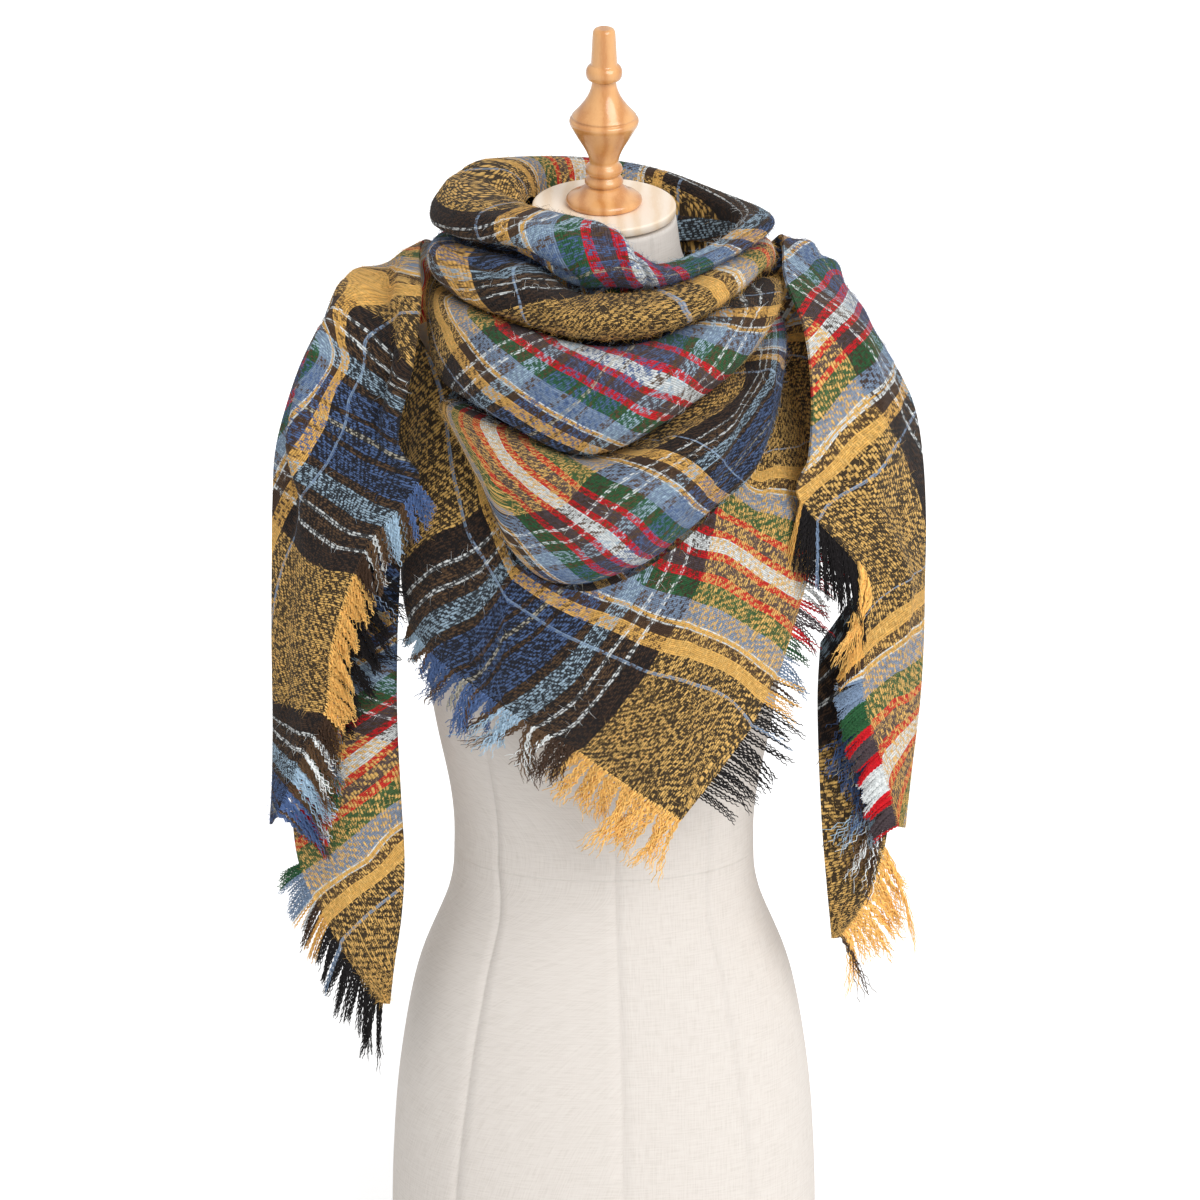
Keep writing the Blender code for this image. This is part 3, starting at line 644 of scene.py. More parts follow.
# %% [markdown]
# ## Turned wood
# The cap is a disc of plain, satin wood whose grain runs across it in long bands. The
# finial is turned on a lathe: one profile swept round an axis, with sharp quirks between
# its beads, and a gloss varnish over warm beech. Both lean forward with the neck.

# %% Profiles
CAP_RADIUS, CAP_BEVEL = 54.0, 1.3
CAP_PROFILE = (
    (0, CAP_RADIUS - CAP_BEVEL), (0.4, CAP_RADIUS - 0.5), (CAP_BEVEL, CAP_RADIUS),
    (CAP_WALL - CAP_BEVEL, CAP_RADIUS), (CAP_WALL - 0.4, CAP_RADIUS - 0.4),
    (CAP_WALL, CAP_RADIUS - CAP_BEVEL),
)
# Height above the cap and radius, from the foot to the top of the plug.
FINIAL_PROFILE = (
    (0, 26.6), (0.8, 27.9), (2.6, 28.6), (4.6, 28.2), (6.2, 26.2), (7.4, 23.2), (9, 20),
    (11, 17.4), (13, 15.4), (14.2, 14.1), (14.5, 12.2), (15.1, 12.2), (15.5, 13.2),
    (16.8, 14.4), (18.4, 14.4), (20.2, 13.6), (21.6, 12.2), (22.4, 11.4), (23, 11.4),
    (23.6, 12.4), (25.2, 13.8), (27.4, 14), (29.6, 13.4), (31.2, 12.1), (32, 11.2),
    (32.8, 10.9), (34.6, 10.9), (38, 11.8), (42, 13.4), (46, 15.5), (50, 18), (54, 20.4),
    (58, 22.7), (61, 24.4), (63, 25.4), (65, 25.9), (66.6, 25.6), (67.6, 24.6), (68, 23.4),
    (68.6, 23.2), (69.4, 24), (70.2, 23.4), (72.4, 21.3), (76, 18.1), (80, 15), (84, 12.5),
    (88, 10.7), (92, 9.5), (96, 8.9), (96.8, 8.8), (97.3, 10.6), (98.2, 12.2), (100, 13.2),
    (102.6, 13.6), (105.2, 13.3), (107.4, 12.2), (108.6, 10.8), (109.2, 9.8), (110, 9.7),
    (116, 9.4), (124, 9.0), (131, 8.6), (134.4, 8.2), (136.2, 7.2), (137, 5.5),
)
TURNED_ROUND = 96


# %% Turning a profile
def turned(profile, base):
    """Rings of a profile of (height, radius), swept round an axis that leans forward by
    NECK_TILT and starts at base on the axis of the neck."""
    round_ = np.linspace(0, 2 * np.pi, TURNED_ROUND + 1)[:-1][None, :]
    height, radius = (np.array(part, dtype=float)[:, None] for part in zip(*profile))
    x = radius * np.cos(round_)
    y = radius * np.sin(round_) * math.cos(NECK_TILT) - height * math.sin(NECK_TILT)
    z = radius * np.sin(round_) * math.sin(NECK_TILT) + height * math.cos(NECK_TILT) + base
    return np.stack((x, y, z), axis=-1)


# %% Wood materials
def wood(name, light, dark, roughness, coat, along, rings_scale):
    """Wood: dark growth lines from a stretched, distorted band pattern over a lighter ground,
    with short pores. Read on Object coordinates, so end and side grain meet."""
    made, tree, shader = new_look(name)
    place = node(tree, "ShaderNodeTexCoord").outputs["Object"]
    stretched = node(tree, "ShaderNodeMapping", {"Vector": place, "Scale": along})
    bands = node(tree, "ShaderNodeTexWave", {"Vector": stretched.outputs[0], "Scale": rings_scale,
                                             "Distortion": 5.0, "Detail": 3.0,
                                             "Detail Scale": 1.6})
    pores = node(tree, "ShaderNodeTexNoise", {"Vector": stretched.outputs[0], "Scale": 60.0,
                                              "Detail": 5.0, "Roughness": 0.7})
    grain = calc(tree, "ADD", calc(tree, "MULTIPLY", bands.outputs["Fac"], 0.55),
                 calc(tree, "MULTIPLY", pores.outputs["Fac"], 0.6))
    between = tuple(lerp(np.array(dark), np.array(light), 0.6))
    grained = ramp(tree, grain, [(0.3, dark), (0.55, between), (0.85, light)])
    tree.links.new(grained, shader.inputs["Base Color"])
    raised = node(tree, "ShaderNodeBump", {"Height": pores.outputs["Fac"], "Strength": 0.12,
                                           "Distance": 0.0005})
    tree.links.new(raised.outputs["Normal"], shader.inputs["Normal"])
    shader.inputs["Roughness"].default_value = roughness
    shader.inputs["Coat Weight"].default_value = coat
    shader.inputs["Coat Roughness"].default_value = 0.12
    return made


satin_wood = wood("satin_wood", yarn(252, 238, 220), yarn(242, 220, 192), 0.48, 0.1,
                  (12, 1.6, 12), 2.0)
varnished_beech = wood("varnished_beech", yarn(232, 174, 112), yarn(206, 140, 78), 0.28, 0.7,
                       (14, 14, 2.2), 1.6)
cap_base = NECK_TOP - CAP_WALL * math.cos(NECK_TILT)
cap = closed_rings("wooden_cap", turned(CAP_PROFILE, cap_base), satin_wood)
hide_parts("neck_cap")
finial = closed_rings("turned_finial", turned(FINIAL_PROFILE, NECK_TOP + SEAM_GAP),
                      varnished_beech)
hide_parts("finial")

# %% [markdown]
# ## The shapes of the stretches
# Round the neck the cloth lies in soft rolls, each half an ellipse carried round. The corner
# hangs as one curved sheet. The two ends are bowed between an inner and an outer edge, with
# pleats. These are the solids' own forms, read far more finely.

# %% Rolls
ROLL_FULLNESS = 0.62             # 1 is a true half ellipse, less is a fuller roll
ROLL_LIP, SOLID_LIP = 146, 112   # degrees from the crest at which the lips end, here and there
COLLAR_LIP, COLLAR_DROP = 178, 150
ROLL_COLUMNS = ("bearing", "radius", "stand", "top", "bottom", "drop")
NECK_ROLL = (
    (-180, 103, 15, 887, 838, 34),
    (-150, 110, 20, 891, 841, 24),
    (-122, 124, 31, 893, 845, 2),
    (-92, 130, 35, 886, 846, 0),
    (-62, 123, 31, 880, 848, 0),
    (-35, 113, 25, 877, 843, 0),
    (-12, 113, 25, 873, 825, 0),
    (3, 114, 22, 866, 825, 0),
    (14, 116, 16, 851, 826, 2),
    (22, 118, 12, 842, 827, 6),
    (36, 120, 11, 846, 832, 16),
    (52, 122, 11, 853, 841, 24),
    (75, 126, 12, 861, 848, 30),
    (100, 126, 13, 863, 846, 32),
    (125, 116, 12, 869, 841, 36),
    (152, 105, 12, 880, 838, 38),
)
YELLOW_ROLL = (
    (-180, 120, 24, 836, 794, 0),
    (-150, 125, 22, 838, 797, 0),
    (-120, 130, 14, 842, 824, 0),
    (-92, 131, 12, 843, 826, 0),
    (-70, 137, 18, 845, 818, 0),
    (-50, 138, 23, 845, 808, 0),
    (-30, 139, 27, 839, 801, 0),
    (-12, 143, 29, 822, 794, 0),
    (2, 146, 31, 822, 792, 0),
    (15, 147, 30, 823, 795, 0),
    (30, 145, 26, 828, 804, 0),
    (45, 140, 20, 837, 817, 0),
    (64, 134, 13, 843, 828, 0),
    (88, 128, 12, 844, 818, 0),
    (120, 123, 16, 839, 806, 0),
    (152, 119, 22, 835, 796, 0),
)
PLAID_ROLL = (
    (-88, 132, 9, 817, 800, 0),
    (-74, 138, 12, 812, 784, 0),
    (-60, 147, 16, 810, 750, 0),
    (-45, 155, 23, 805, 741, 0),
    (-25, 164, 30, 797, 727, 0),
    (-8, 173, 34, 790, 714, 0),
    (4, 176, 36, 788, 719, 0),
    (14, 177, 35, 791, 733, 0),
    (24, 175, 32, 798, 749, 0),
    (38, 168, 26, 808, 769, 0),
    (52, 158, 19, 819, 791, 0),
    (66, 145, 12, 823, 803, 0),
    (82, 134, 8, 813, 801, 0),
)
BROAD_FOLD = (
    (-54, 152, 9, 739, 728, 0),
    (-46, 157, 13, 737, 716, 0),
    (-34, 163, 19, 729, 676, 0),
    (-26, 169, 24, 723, 637, 0),
    (-16, 177, 28, 715, 619, 0),
    (-5, 183, 32, 709, 618, 0),
    (8, 187, 34, 718, 630, 0),
    (19, 189, 34, 737, 652, 0),
    (31, 188, 31, 755, 680, 0),
    (42, 181, 26, 769, 704, 0),
    (50, 170, 20, 783, 732, 0),
    (58, 157, 13, 791, 764, 0),
    (66, 146, 9, 797, 780, 0),
)


# %% A roll's surface
def roll_surface(table, along, around, closed=False, upper_lip=ROLL_LIP):
    """A soft roll: reach = radius - stand + stand * cos(angle) ** ROLL_FULLNESS, and
    height = middle + half the roll's height * sin(angle). Returns its points, and each
    point's shares along and across, where 0 and 1 are the solid's own lips."""
    bearings = [row[0] for row in table]
    if closed:
        bearings.append(bearings[0] + 360)
        where = np.arange(along) * len(table) / along
        share_along = np.arange(along) / along
    else:
        where = np.linspace(0, len(table) - 1, along)
        share_along = np.linspace(0, 1, along)
    cut = {name: values[:, None]
           for name, values in columns(spline(table, where, closed), ROLL_COLUMNS).items()}
    bearing = np.interp(where, np.arange(len(bearings)), bearings)[:, None]
    degrees = np.linspace(-ROLL_LIP, upper_lip, around)[None, :]
    across = np.cos(np.radians(degrees))
    bulge = np.sign(across) * np.abs(across) ** ROLL_FULLNESS
    reach = cut["radius"] - cut["stand"] + cut["stand"] * bulge
    middle = (cut["top"] + cut["bottom"]) / 2
    height = middle + (cut["top"] - cut["bottom"]) / 2 * np.sin(np.radians(degrees))
    inside = np.clip((degrees - COLLAR_DROP) / (COLLAR_LIP - COLLAR_DROP), 0, 1)
    height = height - inside ** 2 * np.maximum(cut["drop"], 0)
    top_lip = COLLAR_LIP if upper_lip == COLLAR_LIP else SOLID_LIP
    share_across = (degrees + SOLID_LIP) / (top_lip + SOLID_LIP)
    shares = np.stack(np.broadcast_arrays(share_along[:, None], share_across), axis=-1)
    return polar(bearing, reach, height), shares


# %% The hanging point
POINT_COLUMNS = ("bearing", "r_top", "z_top", "r_mid", "z_mid", "r_hem", "z_hem")
FRONT_POINT = (
    (-80, 152, 806, 170, 712, 164, 606),
    (-72, 146, 776, 158, 672, 160, 596),
    (-58, 131, 742, 171, 645, 172, 566),
    (-47, 132, 706, 171, 624, 171, 548),
    (-34, 142, 664, 168, 596, 168, 531),
    (-26, 150, 628, 167, 572, 167, 519),
    (-7, 160, 613, 178, 550, 166, 492),
    (7, 163, 624, 183, 545, 167, 462),
    (19.6, 166, 647, 186, 555, 170, 436),
    (28, 166, 667, 188, 575, 178, 471),
    (36, 163, 686, 189, 600, 186, 506),
    (44, 158, 704, 188, 632, 190, 552),
    (51, 150, 727, 181, 672, 190, 600),
    (57, 142, 750, 170, 706, 190, 640),
    (63, 134, 768, 158, 736, 186, 676),
    (73, 152, 800, 166, 745, 178, 690),
)


def point_surface(table, steps, down):
    """The hanging point: reach and height are parabolas down each row, through its top, its
    middle and its hem, and the hem runs straight between rows."""
    where = np.linspace(0, len(table) - 1, (len(table) - 1) * steps + 1)
    smooth = columns(spline(table, where), POINT_COLUMNS)
    straight = {name: np.interp(where, np.arange(len(table)), values)
                for name, values in columns(table, POINT_COLUMNS).items()}
    share = np.linspace(0, 1, down)[None, :]
    at_top = (1 - share) * (1 - 2 * share)
    at_middle = 4 * share * (1 - share)
    at_hem = share * (2 * share - 1)
    reach, height = (smooth[letter + "_top"][:, None] * at_top
                     + smooth[letter + "_mid"][:, None] * at_middle
                     + straight[letter + "_hem"][:, None] * at_hem for letter in "rz")
    shares = np.stack(np.broadcast_arrays(np.linspace(0, 1, len(where))[:, None], share), axis=-1)
    return polar(straight["bearing"][:, None], reach, height), shares


# %% The two ends
END_COLUMNS = ("x_in", "y_in", "z_in", "x_out", "y_out", "z_out", "belly")
LEFT_OVER = (
    (80, 108, 794, 94, 128, 782, 2),
    (52, 114, 795, 68, 142, 754, 10),
    (-4, 122, 788, -10, 152, 708, 17),
    (-66, 106, 792, -86, 134, 694, 22),
    (-112, 62, 816, -158, 92, 712, 24),
    (-134, 20, 838, -204, 46, 752, 14),
    (-138, -22, 834, -212, 6, 776, 9),
    (-135, -68, 812, -222, -18, 764, 14),
    (-140, -100, 768, -234, -36, 736, 18),
    (-151, -115, 714, -246, -48, 693, 16),
    (-136, -124, 684, -249, -55, 652, 12),
    (-177, -116, 628, -250, -62, 605, 8),
    (-201, -110, 559, -251, -68, 548, 6),
    (-208, -108, 504, -251, -74, 490, 5),
    (-229, -100, 459, -252, -80, 444, 3),
    (-247, -91, 415, -254, -88, 408, 1),
)
LEFT_UNDER = (
    (-153, -94, 700, -239, -46, 672, 8),
    (-152, -94, 619, -241, -48, 608, 8),
    (-155, -92, 556, -242, -52, 545, 6),
    (-156, -90, 492, -243, -56, 482, 6),
    (-154, -84, 428, -240, -58, 420, 7),
    (-152, -82, 376, -234, -64, 367, 8),
    (-155, -80, 331, -214, -74, 325, 7),
    (-161, -79, 291, -194, -76, 289, 4),
    (-165, -78, 258, -172, -78, 259, 1),
)
RIGHT_OVER = (
    (-92, 58, 804, -102, 72, 788, 3),
    (-50, 90, 790, -64, 106, 750, 8),
    (4, 98, 788, 8, 120, 706, 14),
    (64, 94, 792, 84, 112, 700, 20),
    (112, 58, 816, 150, 84, 722, 20),
    (133, 18, 842, 186, 42, 770, 12),
    (134, -22, 840, 194, 8, 790, 7),
    (134, -62, 825, 204, -8, 774, 9),
    (147, -100, 794, 218, -20, 752, 12),
    (152, -117, 749, 233, -30, 722, 12),
    (150, -127, 705, 240, -38, 684, 12),
    (143, -131, 674, 243, -44, 636, 11),
    (192, -112, 611, 243, -48, 588, 8),
    (193, -106, 558, 243, -50, 541, 6),
    (195, -100, 509, 241, -52, 494, 5),
    (211, -84, 453, 236, -56, 445, 3),
    (224, -70, 400, 231, -64, 397, 1),
)
RIGHT_UNDER = (
    (164, -76, 548, 224, -36, 632, 3),
    (162, -75, 508, 226, -40, 550, 4),
    (163, -74, 463, 224, -43, 466, 5),
    (166, -75, 409, 219, -50, 396, 6),
    (170, -78, 360, 211, -64, 362, 5),
    (173, -76, 331, 197, -70, 331, 3),
    (175, -75, 311, 182, -73, 311, 1),
)

# %% Pleats, and the surface of an end
PLEAT_COLUMNS = ("across", "height", "width", "first_row", "last_row")
LEFT_PLEATS = (
    (0.62, 12, 0.14, 5, 11),
    (0.34, -13, 0.12, 5, 9),
    (0.22, 11, 0.11, 0, 5),
    (0.52, 12, 0.12, 0, 6),
    (0.84, 10, 0.11, 0, 5),
)
RIGHT_PLEATS = (
    (0.45, 8, 0.16, 7, 14),
    (0.25, 9, 0.11, 0, 6),
    (0.55, 10, 0.12, 0, 6),
    (0.86, 8, 0.11, 0, 5),
)
UNDER_PLEATS = (
    (0.55, 6, 0.2, 1, 6),
)
PLEAT_FADE = 1.5                 # rows over which a pleat rises and dies away


def end_surface(table, pleats, along, across):
    """A hanging end: chords from the inner to the outer edge, bowed away from the form by
    belly * sin(pi * share across), plus each pleat as a bell curve across."""
    where = np.linspace(0, len(table) - 1, along)
    cut = columns(spline(table, where), END_COLUMNS)
    inner, outer = (np.stack([cut[axis + edge] for axis in "xyz"], axis=1)
                    for edge in ("_in", "_out"))
    middle = (inner + outer) / 2
    away = unit(np.cross(unit(outer - inner), unit(np.gradient(middle, axis=0))))
    from_axis = (middle - (0, FORM_AXIS_Y, 0)) * (1, 1, 0.2)
    away = away * np.sign((away * from_axis).sum(1))[:, None]
    share = np.linspace(0, 1, across)
    bow = cut["belly"][:, None] * np.sin(np.pi * share)[None, :]
    for row in pleats:
        pleat = dict(zip(PLEAT_COLUMNS, row))
        from_end = np.minimum(where - pleat["first_row"], pleat["last_row"] - where)
        rise = np.sin(np.clip(from_end / PLEAT_FADE, 0, 1) * np.pi / 2)
        hump = np.exp(-((share - pleat["across"]) / pleat["width"]) ** 2)
        bow = bow + pleat["height"] * rise[:, None] * hump[None, :]
    flat = lerp(inner[:, None], outer[:, None], share[None, :, None])
    shares = np.stack(np.broadcast_arrays(np.linspace(0, 1, along)[:, None], share[None, :]),
                      axis=-1)
    return flat + away[:, None] * bow[..., None], shares


print("a roll's crest stands", YELLOW_ROLL[8][2], "mm out at the front")

# %% [markdown]
# ## Creases, one by one
# Woven cloth that is gathered by hand never creases twice alike. Each crease is one row: a
# line from one place on the stretch to another, bowed sideways, with a width and a depth.
# Above 0 it is a ridge and below 0 a trough. The real cloth's own creases were judged one by
# one, and the hidden sides have similar ones.

# %% Pressing creases in
CREASE_COLUMNS = ("along_from", "across_from", "along_to", "across_to", "bow", "width", "depth")
CREASE_STEPS = 48


def stretch_size(grid, closed=False):
    """A stretch's mean length along and mean width across, in millimetres."""
    if closed:
        grid = np.concatenate((grid, grid[:1]))
    return (np.linalg.norm(np.diff(grid, axis=0), axis=2).sum(axis=0).mean(),
            np.linalg.norm(np.diff(grid, axis=1), axis=2).sum(axis=1).mean())


def press(grid, shares, creases, closed=False):
    """Moves each point along its normal by depth * exp(-(distance / width) ** 2) * fade,
    where distance is to the crease's nearest step and fade is the sine of its place along
    the crease, softened."""
    size = np.array(stretch_size(grid, closed))
    span = shares[..., 1].max() - shares[..., 1].min()
    size[1] = size[1] / span
    push = np.zeros(grid.shape[:2])
    steps = np.linspace(0, 1, CREASE_STEPS)[:, None]
    for row in creases:
        crease = dict(zip(CREASE_COLUMNS, row))
        start = np.array((crease["along_from"], crease["across_from"])) * size
        end = np.array((crease["along_to"], crease["across_to"])) * size
        side = unit(np.array((start[1] - end[1], end[0] - start[0])))
        line = lerp(start, end, steps) + side * crease["bow"] * np.sin(np.pi * steps)
        apart = shares[..., None, :] * size - line
        if closed:
            apart[..., 0] = (apart[..., 0] + size[0] / 2) % size[0] - size[0] / 2
        gap = np.linalg.norm(apart, axis=-1)
        nearest = gap.argmin(axis=-1)
        gap = gap.min(axis=-1)
        fade = np.sin(np.pi * np.clip(nearest / (CREASE_STEPS - 1), 0.04, 0.96)) ** 0.5
        push = push + crease["depth"] * fade * np.exp(-(gap / crease["width"]) ** 2)
    return grid + outward_normals(grid, closed) * push[..., None]


# %% [markdown]
# ## Charting the cloth
# The tartan has to run through each stretch as it lies. A mark is a place in the view where
# a stripe's edge was seen to pass, with the cloth's own two measures there: how far the weft
# stripes and the warp stripes have got from the corner. Each mark is looked up on the stretch,
# and a thin plate bent through all of them gives the measure everywhere between, as a ruler
# bent through pins does for a curve.

# %% Looking a mark up on a stretch
# A mark's place is in 1200ths of the view's width, to the right and down. A measure that was
# not read there is None.
MARK_COLUMNS = ("right", "down", "weft", "warp")
VIEW_STEPS = 1200
# What the view can't show is marked by its shares along and across the stretch instead.
HIDDEN_COLUMNS = ("along", "across", "weft", "warp")


def in_view(grid):
    """Each point's place in the view: half the steps + how far it is beside the middle / how
    far it is ahead / the view's width 1 m ahead * steps, and the same downwards."""
    away = grid - np.array(EYE) / MM
    ahead = away[..., 1] * math.cos(PITCH) - away[..., 2] * math.sin(PITCH)
    upward = away[..., 1] * math.sin(PITCH) + away[..., 2] * math.cos(PITCH)
    beside = np.stack((away[..., 0], -upward), axis=-1)
    return VIEW_STEPS * (0.5 + beside / ahead[..., None] * DISTANCE / FRAME_WIDTH)


def look_up(marks, grid, shares, closed=False):
    """Turns marks into rows of HIDDEN_COLUMNS: each takes the shares of the point that lies
    nearest to it in the view, among the stretch's own points that face the camera."""
    toward = np.array(EYE) / MM - grid
    faces_camera = (toward * outward_normals(grid, closed)).sum(axis=-1) > 0
    own = (shares[..., 1] >= 0) & (shares[..., 1] <= 1)
    seen = in_view(grid)[faces_camera & own]
    seen_shares = shares[faces_camera & own]
    place_columns = MARK_COLUMNS.index("weft")
    read_at = np.array([mark[:place_columns] for mark in marks])
    apart = np.linalg.norm(seen[None] - read_at[:, None], axis=2)
    nearest = seen_shares[apart.argmin(axis=1)]
    return [(*shares_there, *mark[place_columns:]) for shares_there, mark in zip(nearest, marks)]


# %% A thin plate through known places
SOFTNESS = 3e-4                  # above 0 the plate may pass a little beside a value
TRUSTED = (0.06, 0.94)           # shares across between which places are known


def plate(places, values, size, wanted):
    """value = plane + sum of weight * r * r * log(r) over the known places, where r is the
    distance in the stretch's own size. The weights come from one set of linear equations."""
    known = np.array(places) * size
    asked = wanted * size
    apart = np.linalg.norm(known[:, None] - known[None], axis=2)
    bend = apart ** 2 * np.log(apart + 1e-9) + SOFTNESS * np.eye(len(known))
    plane = np.column_stack((np.ones(len(known)), known))
    system = np.block([[bend, plane], [plane.T, np.zeros((3, 3))]])
    answer = np.linalg.lstsq(system, np.append(values, np.zeros(3)), rcond=None)[0]
    weights, flat = answer[:-3], answer[-3:]
    reach = np.linalg.norm(asked[:, None] - known[None], axis=2)
    return (reach ** 2 * np.log(reach + 1e-9)) @ weights + flat[0] + asked @ flat[1:]


def chart_of(grid, shares, known, closed=False):
    """Each point's place on the flat cloth, in metres: the weft stripes' measure and the warp
    stripes' measure, from rows of (share along, share across, weft, warp)."""
    size = np.array(stretch_size(grid, closed)) * MM
    size[1] = size[1] / (shares[..., 1].max() - shares[..., 1].min())
    if closed:
        last = shares[:1].copy()
        last[..., 0] = 1.0
        shares = np.concatenate((shares, last))

    def measures(asked):
        """Both measures at rows of (share along, share across)."""
        asked = asked.reshape(-1, 2)
        found = []
        for column in (HIDDEN_COLUMNS.index("weft"), HIDDEN_COLUMNS.index("warp")):
            rows = [row for row in known if row[column] is not None]
            places = [row[:2] for row in rows]
            found.append(plate(places, [row[column] for row in rows], size, asked))
        return np.stack(found, axis=-1).reshape(*shares.shape[:2], 2)

    # Past the known places the cloth runs on straight, with no stretch.
    rim = shares.copy()
    rim[..., 1] = np.clip(rim[..., 1], *TRUSTED)
    past = (shares - rim)[..., 1:] * size[1]
    inside = rim - np.sign(past) * (0, 0.04)
    at_rim = measures(rim)
    return at_rim + unit(at_rim - measures(inside)) * np.abs(past)

# %% [markdown]
# ## Round the neck
# The doubled cloth stands up as a collar, dips at the front and turns over inside. Below it
# lie a yellow roll, a plaid roll and the broad fold that covers the top of the point.

# %% Known places round the neck
# A closed roll's warp measure grows by whole repeats once round, so that the stripes meet
# behind. All measures are in metres from the cloth's corner.
NECK_MARKS = (
    (501, 223, None, 0.118), (519, 256, None, 0.118), (519, 227, None, 0.135),
    (542, 265, None, 0.135), (593, 258, None, 0.175), (609, 285, None, 0.175),
    (622, 258, None, 0.191), (640, 287, None, 0.191), (644, 274, None, 0.2),
    (660, 275, None, 0.209), (680, 270, None, 0.225), (686, 262, None, 0.237),
    (704, 249, None, 0.253), (731, 234, None, 0.285), (756, 212, None, 0.308),
    (479, 214, 0.0955, 0.092), (504, 209, 0.0955, None), (526, 205, 0.0955, None),
    (537, 229, 0.142, None), (555, 226, 0.142, None), (586, 220, 0.142, None),
    (704, 249, 0.142, None), (550, 258, 0.1635, None), (600, 249, 0.1635, None),
    (564, 283, 0.183, None), (591, 272, 0.183, None), (615, 269, 0.183, None),
)
NECK_BEHIND = (
    (0, 0.2, 0.17, -0.133), (0, 0.8, 0.09, -0.133),
    (1, 0.2, 0.17, 0.483), (1, 0.8, 0.09, 0.483),
)
YELLOW_MARKS = (
    (448, 245, None, 0.282), (452, 262, None, 0.282), (459, 283, None, 0.282),
    (437, 269, 0.224, None), (478, 273, 0.224, None), (497, 285, 0.2405, None),
    (491, 293, 0.2525, None), (522, 300, None, 0.308), (595, 310, 0.31, 0.355),
    (672, 303, None, 0.4), (690, 305, None, 0.405), (711, 283, None, 0.426),
    (740, 288, None, 0.44), (747, 254, None, 0.471), (755, 247, None, 0.483),
    (769, 259, None, 0.483),
)
YELLOW_BEHIND = (
    (0, 0.2, 0.28, 0.074), (0, 0.8, 0.23, 0.074), (0.6, 0.5, 0.335, None),
    (0.75, 0.5, 0.33, None), (1, 0.2, 0.28, 0.69), (1, 0.8, 0.23, 0.69),
)
PLAID_MARKS = (
    (461, 353, None, 0.118), (483, 385, None, 0.118), (513, 408, None, 0.118),
    (557, 432, None, 0.118), (585, 447, None, 0.118), (455, 328, None, 0.135),
    (505, 379, None, 0.135), (562, 417, None, 0.135), (600, 432, None, 0.135),
    (503, 322, None, 0.175), (551, 363, None, 0.175), (597, 389, None, 0.175),
    (636, 409, None, 0.175), (555, 343, None, 0.191), (600, 366, None, 0.191),
    (682, 404, None, 0.191), (575, 346, None, 0.2), (643, 375, None, 0.2), (697, 397, None, 0.2),
    (600, 346, None, 0.209), (648, 368, None, 0.209), (706, 395, None, 0.209),
    (646, 341, None, 0.225), (721, 378, None, 0.225), (494, 321, 0.0955, None),
    (474, 342, 0.0955, None), (446, 366, 0.0955, None), (552, 350, 0.142, None),
    (524, 376, 0.142, None), (488, 390, 0.142, None), (580, 364, 0.1635, None),
    (542, 391, 0.1635, None), (511, 415, 0.1635, None), (591, 393, 0.183, None),
    (536, 431, 0.183, None), (609, 361, 0.183, None), (593, 418, 0.2025, None),
    (560, 445, 0.2025, None), (638, 375, 0.2025, None), (597, 442, 0.224, None),
    (675, 388, 0.224, None), (700, 350, 0.224, None), (716, 332, 0.224, None),
)

# %% Known places on the broad fold
BROAD_MARKS = (
    (464, 463, None, 0.118), (488, 509, None, 0.118), (513, 523, None, 0.135),
    (487, 476, None, 0.163), (516, 516, None, 0.163), (459, 425, None, 0.175),
    (490, 490, None, 0.175), (519, 507, None, 0.175), (578, 549, None, 0.175),
    (595, 573, None, 0.175), (478, 416, None, 0.191), (504, 473, None, 0.191),
    (561, 516, None, 0.191), (621, 564, None, 0.191), (497, 449, None, 0.2),
    (550, 500, None, 0.2), (612, 540, None, 0.2), (637, 561, None, 0.2), (504, 430, None, 0.209),
    (526, 471, None, 0.209), (585, 509, None, 0.209), (642, 556, None, 0.209),
    (533, 449, None, 0.225), (576, 488, None, 0.225), (625, 511, None, 0.225),
    (664, 544, None, 0.225), (576, 471, None, 0.237), (645, 509, None, 0.237),
    (611, 476, None, 0.253), (619, 459, None, 0.265), (671, 483, None, 0.265),
    (706, 513, None, 0.265), (633, 454, None, 0.282), (695, 473, None, 0.282),
    (723, 501, None, 0.282), (705, 446, None, 0.306), (739, 474, None, 0.306),
    (442, 397, None, 0.094), (513, 518, 0.2705, None), (566, 511, 0.2705, None),
    (595, 473, 0.2705, None), (676, 438, 0.2705, None), (740, 405, 0.2705, None),
    (504, 531, 0.2525, None), (612, 540, 0.224, None), (659, 490, 0.224, None),
    (708, 453, 0.224, None), (746, 405, 0.224, None), (547, 557, 0.224, None),
    (628, 556, 0.2025, None), (680, 510, 0.2025, None), (723, 473, 0.2025, None),
    (773, 393, 0.2025, None), (581, 576, 0.2025, None),
)

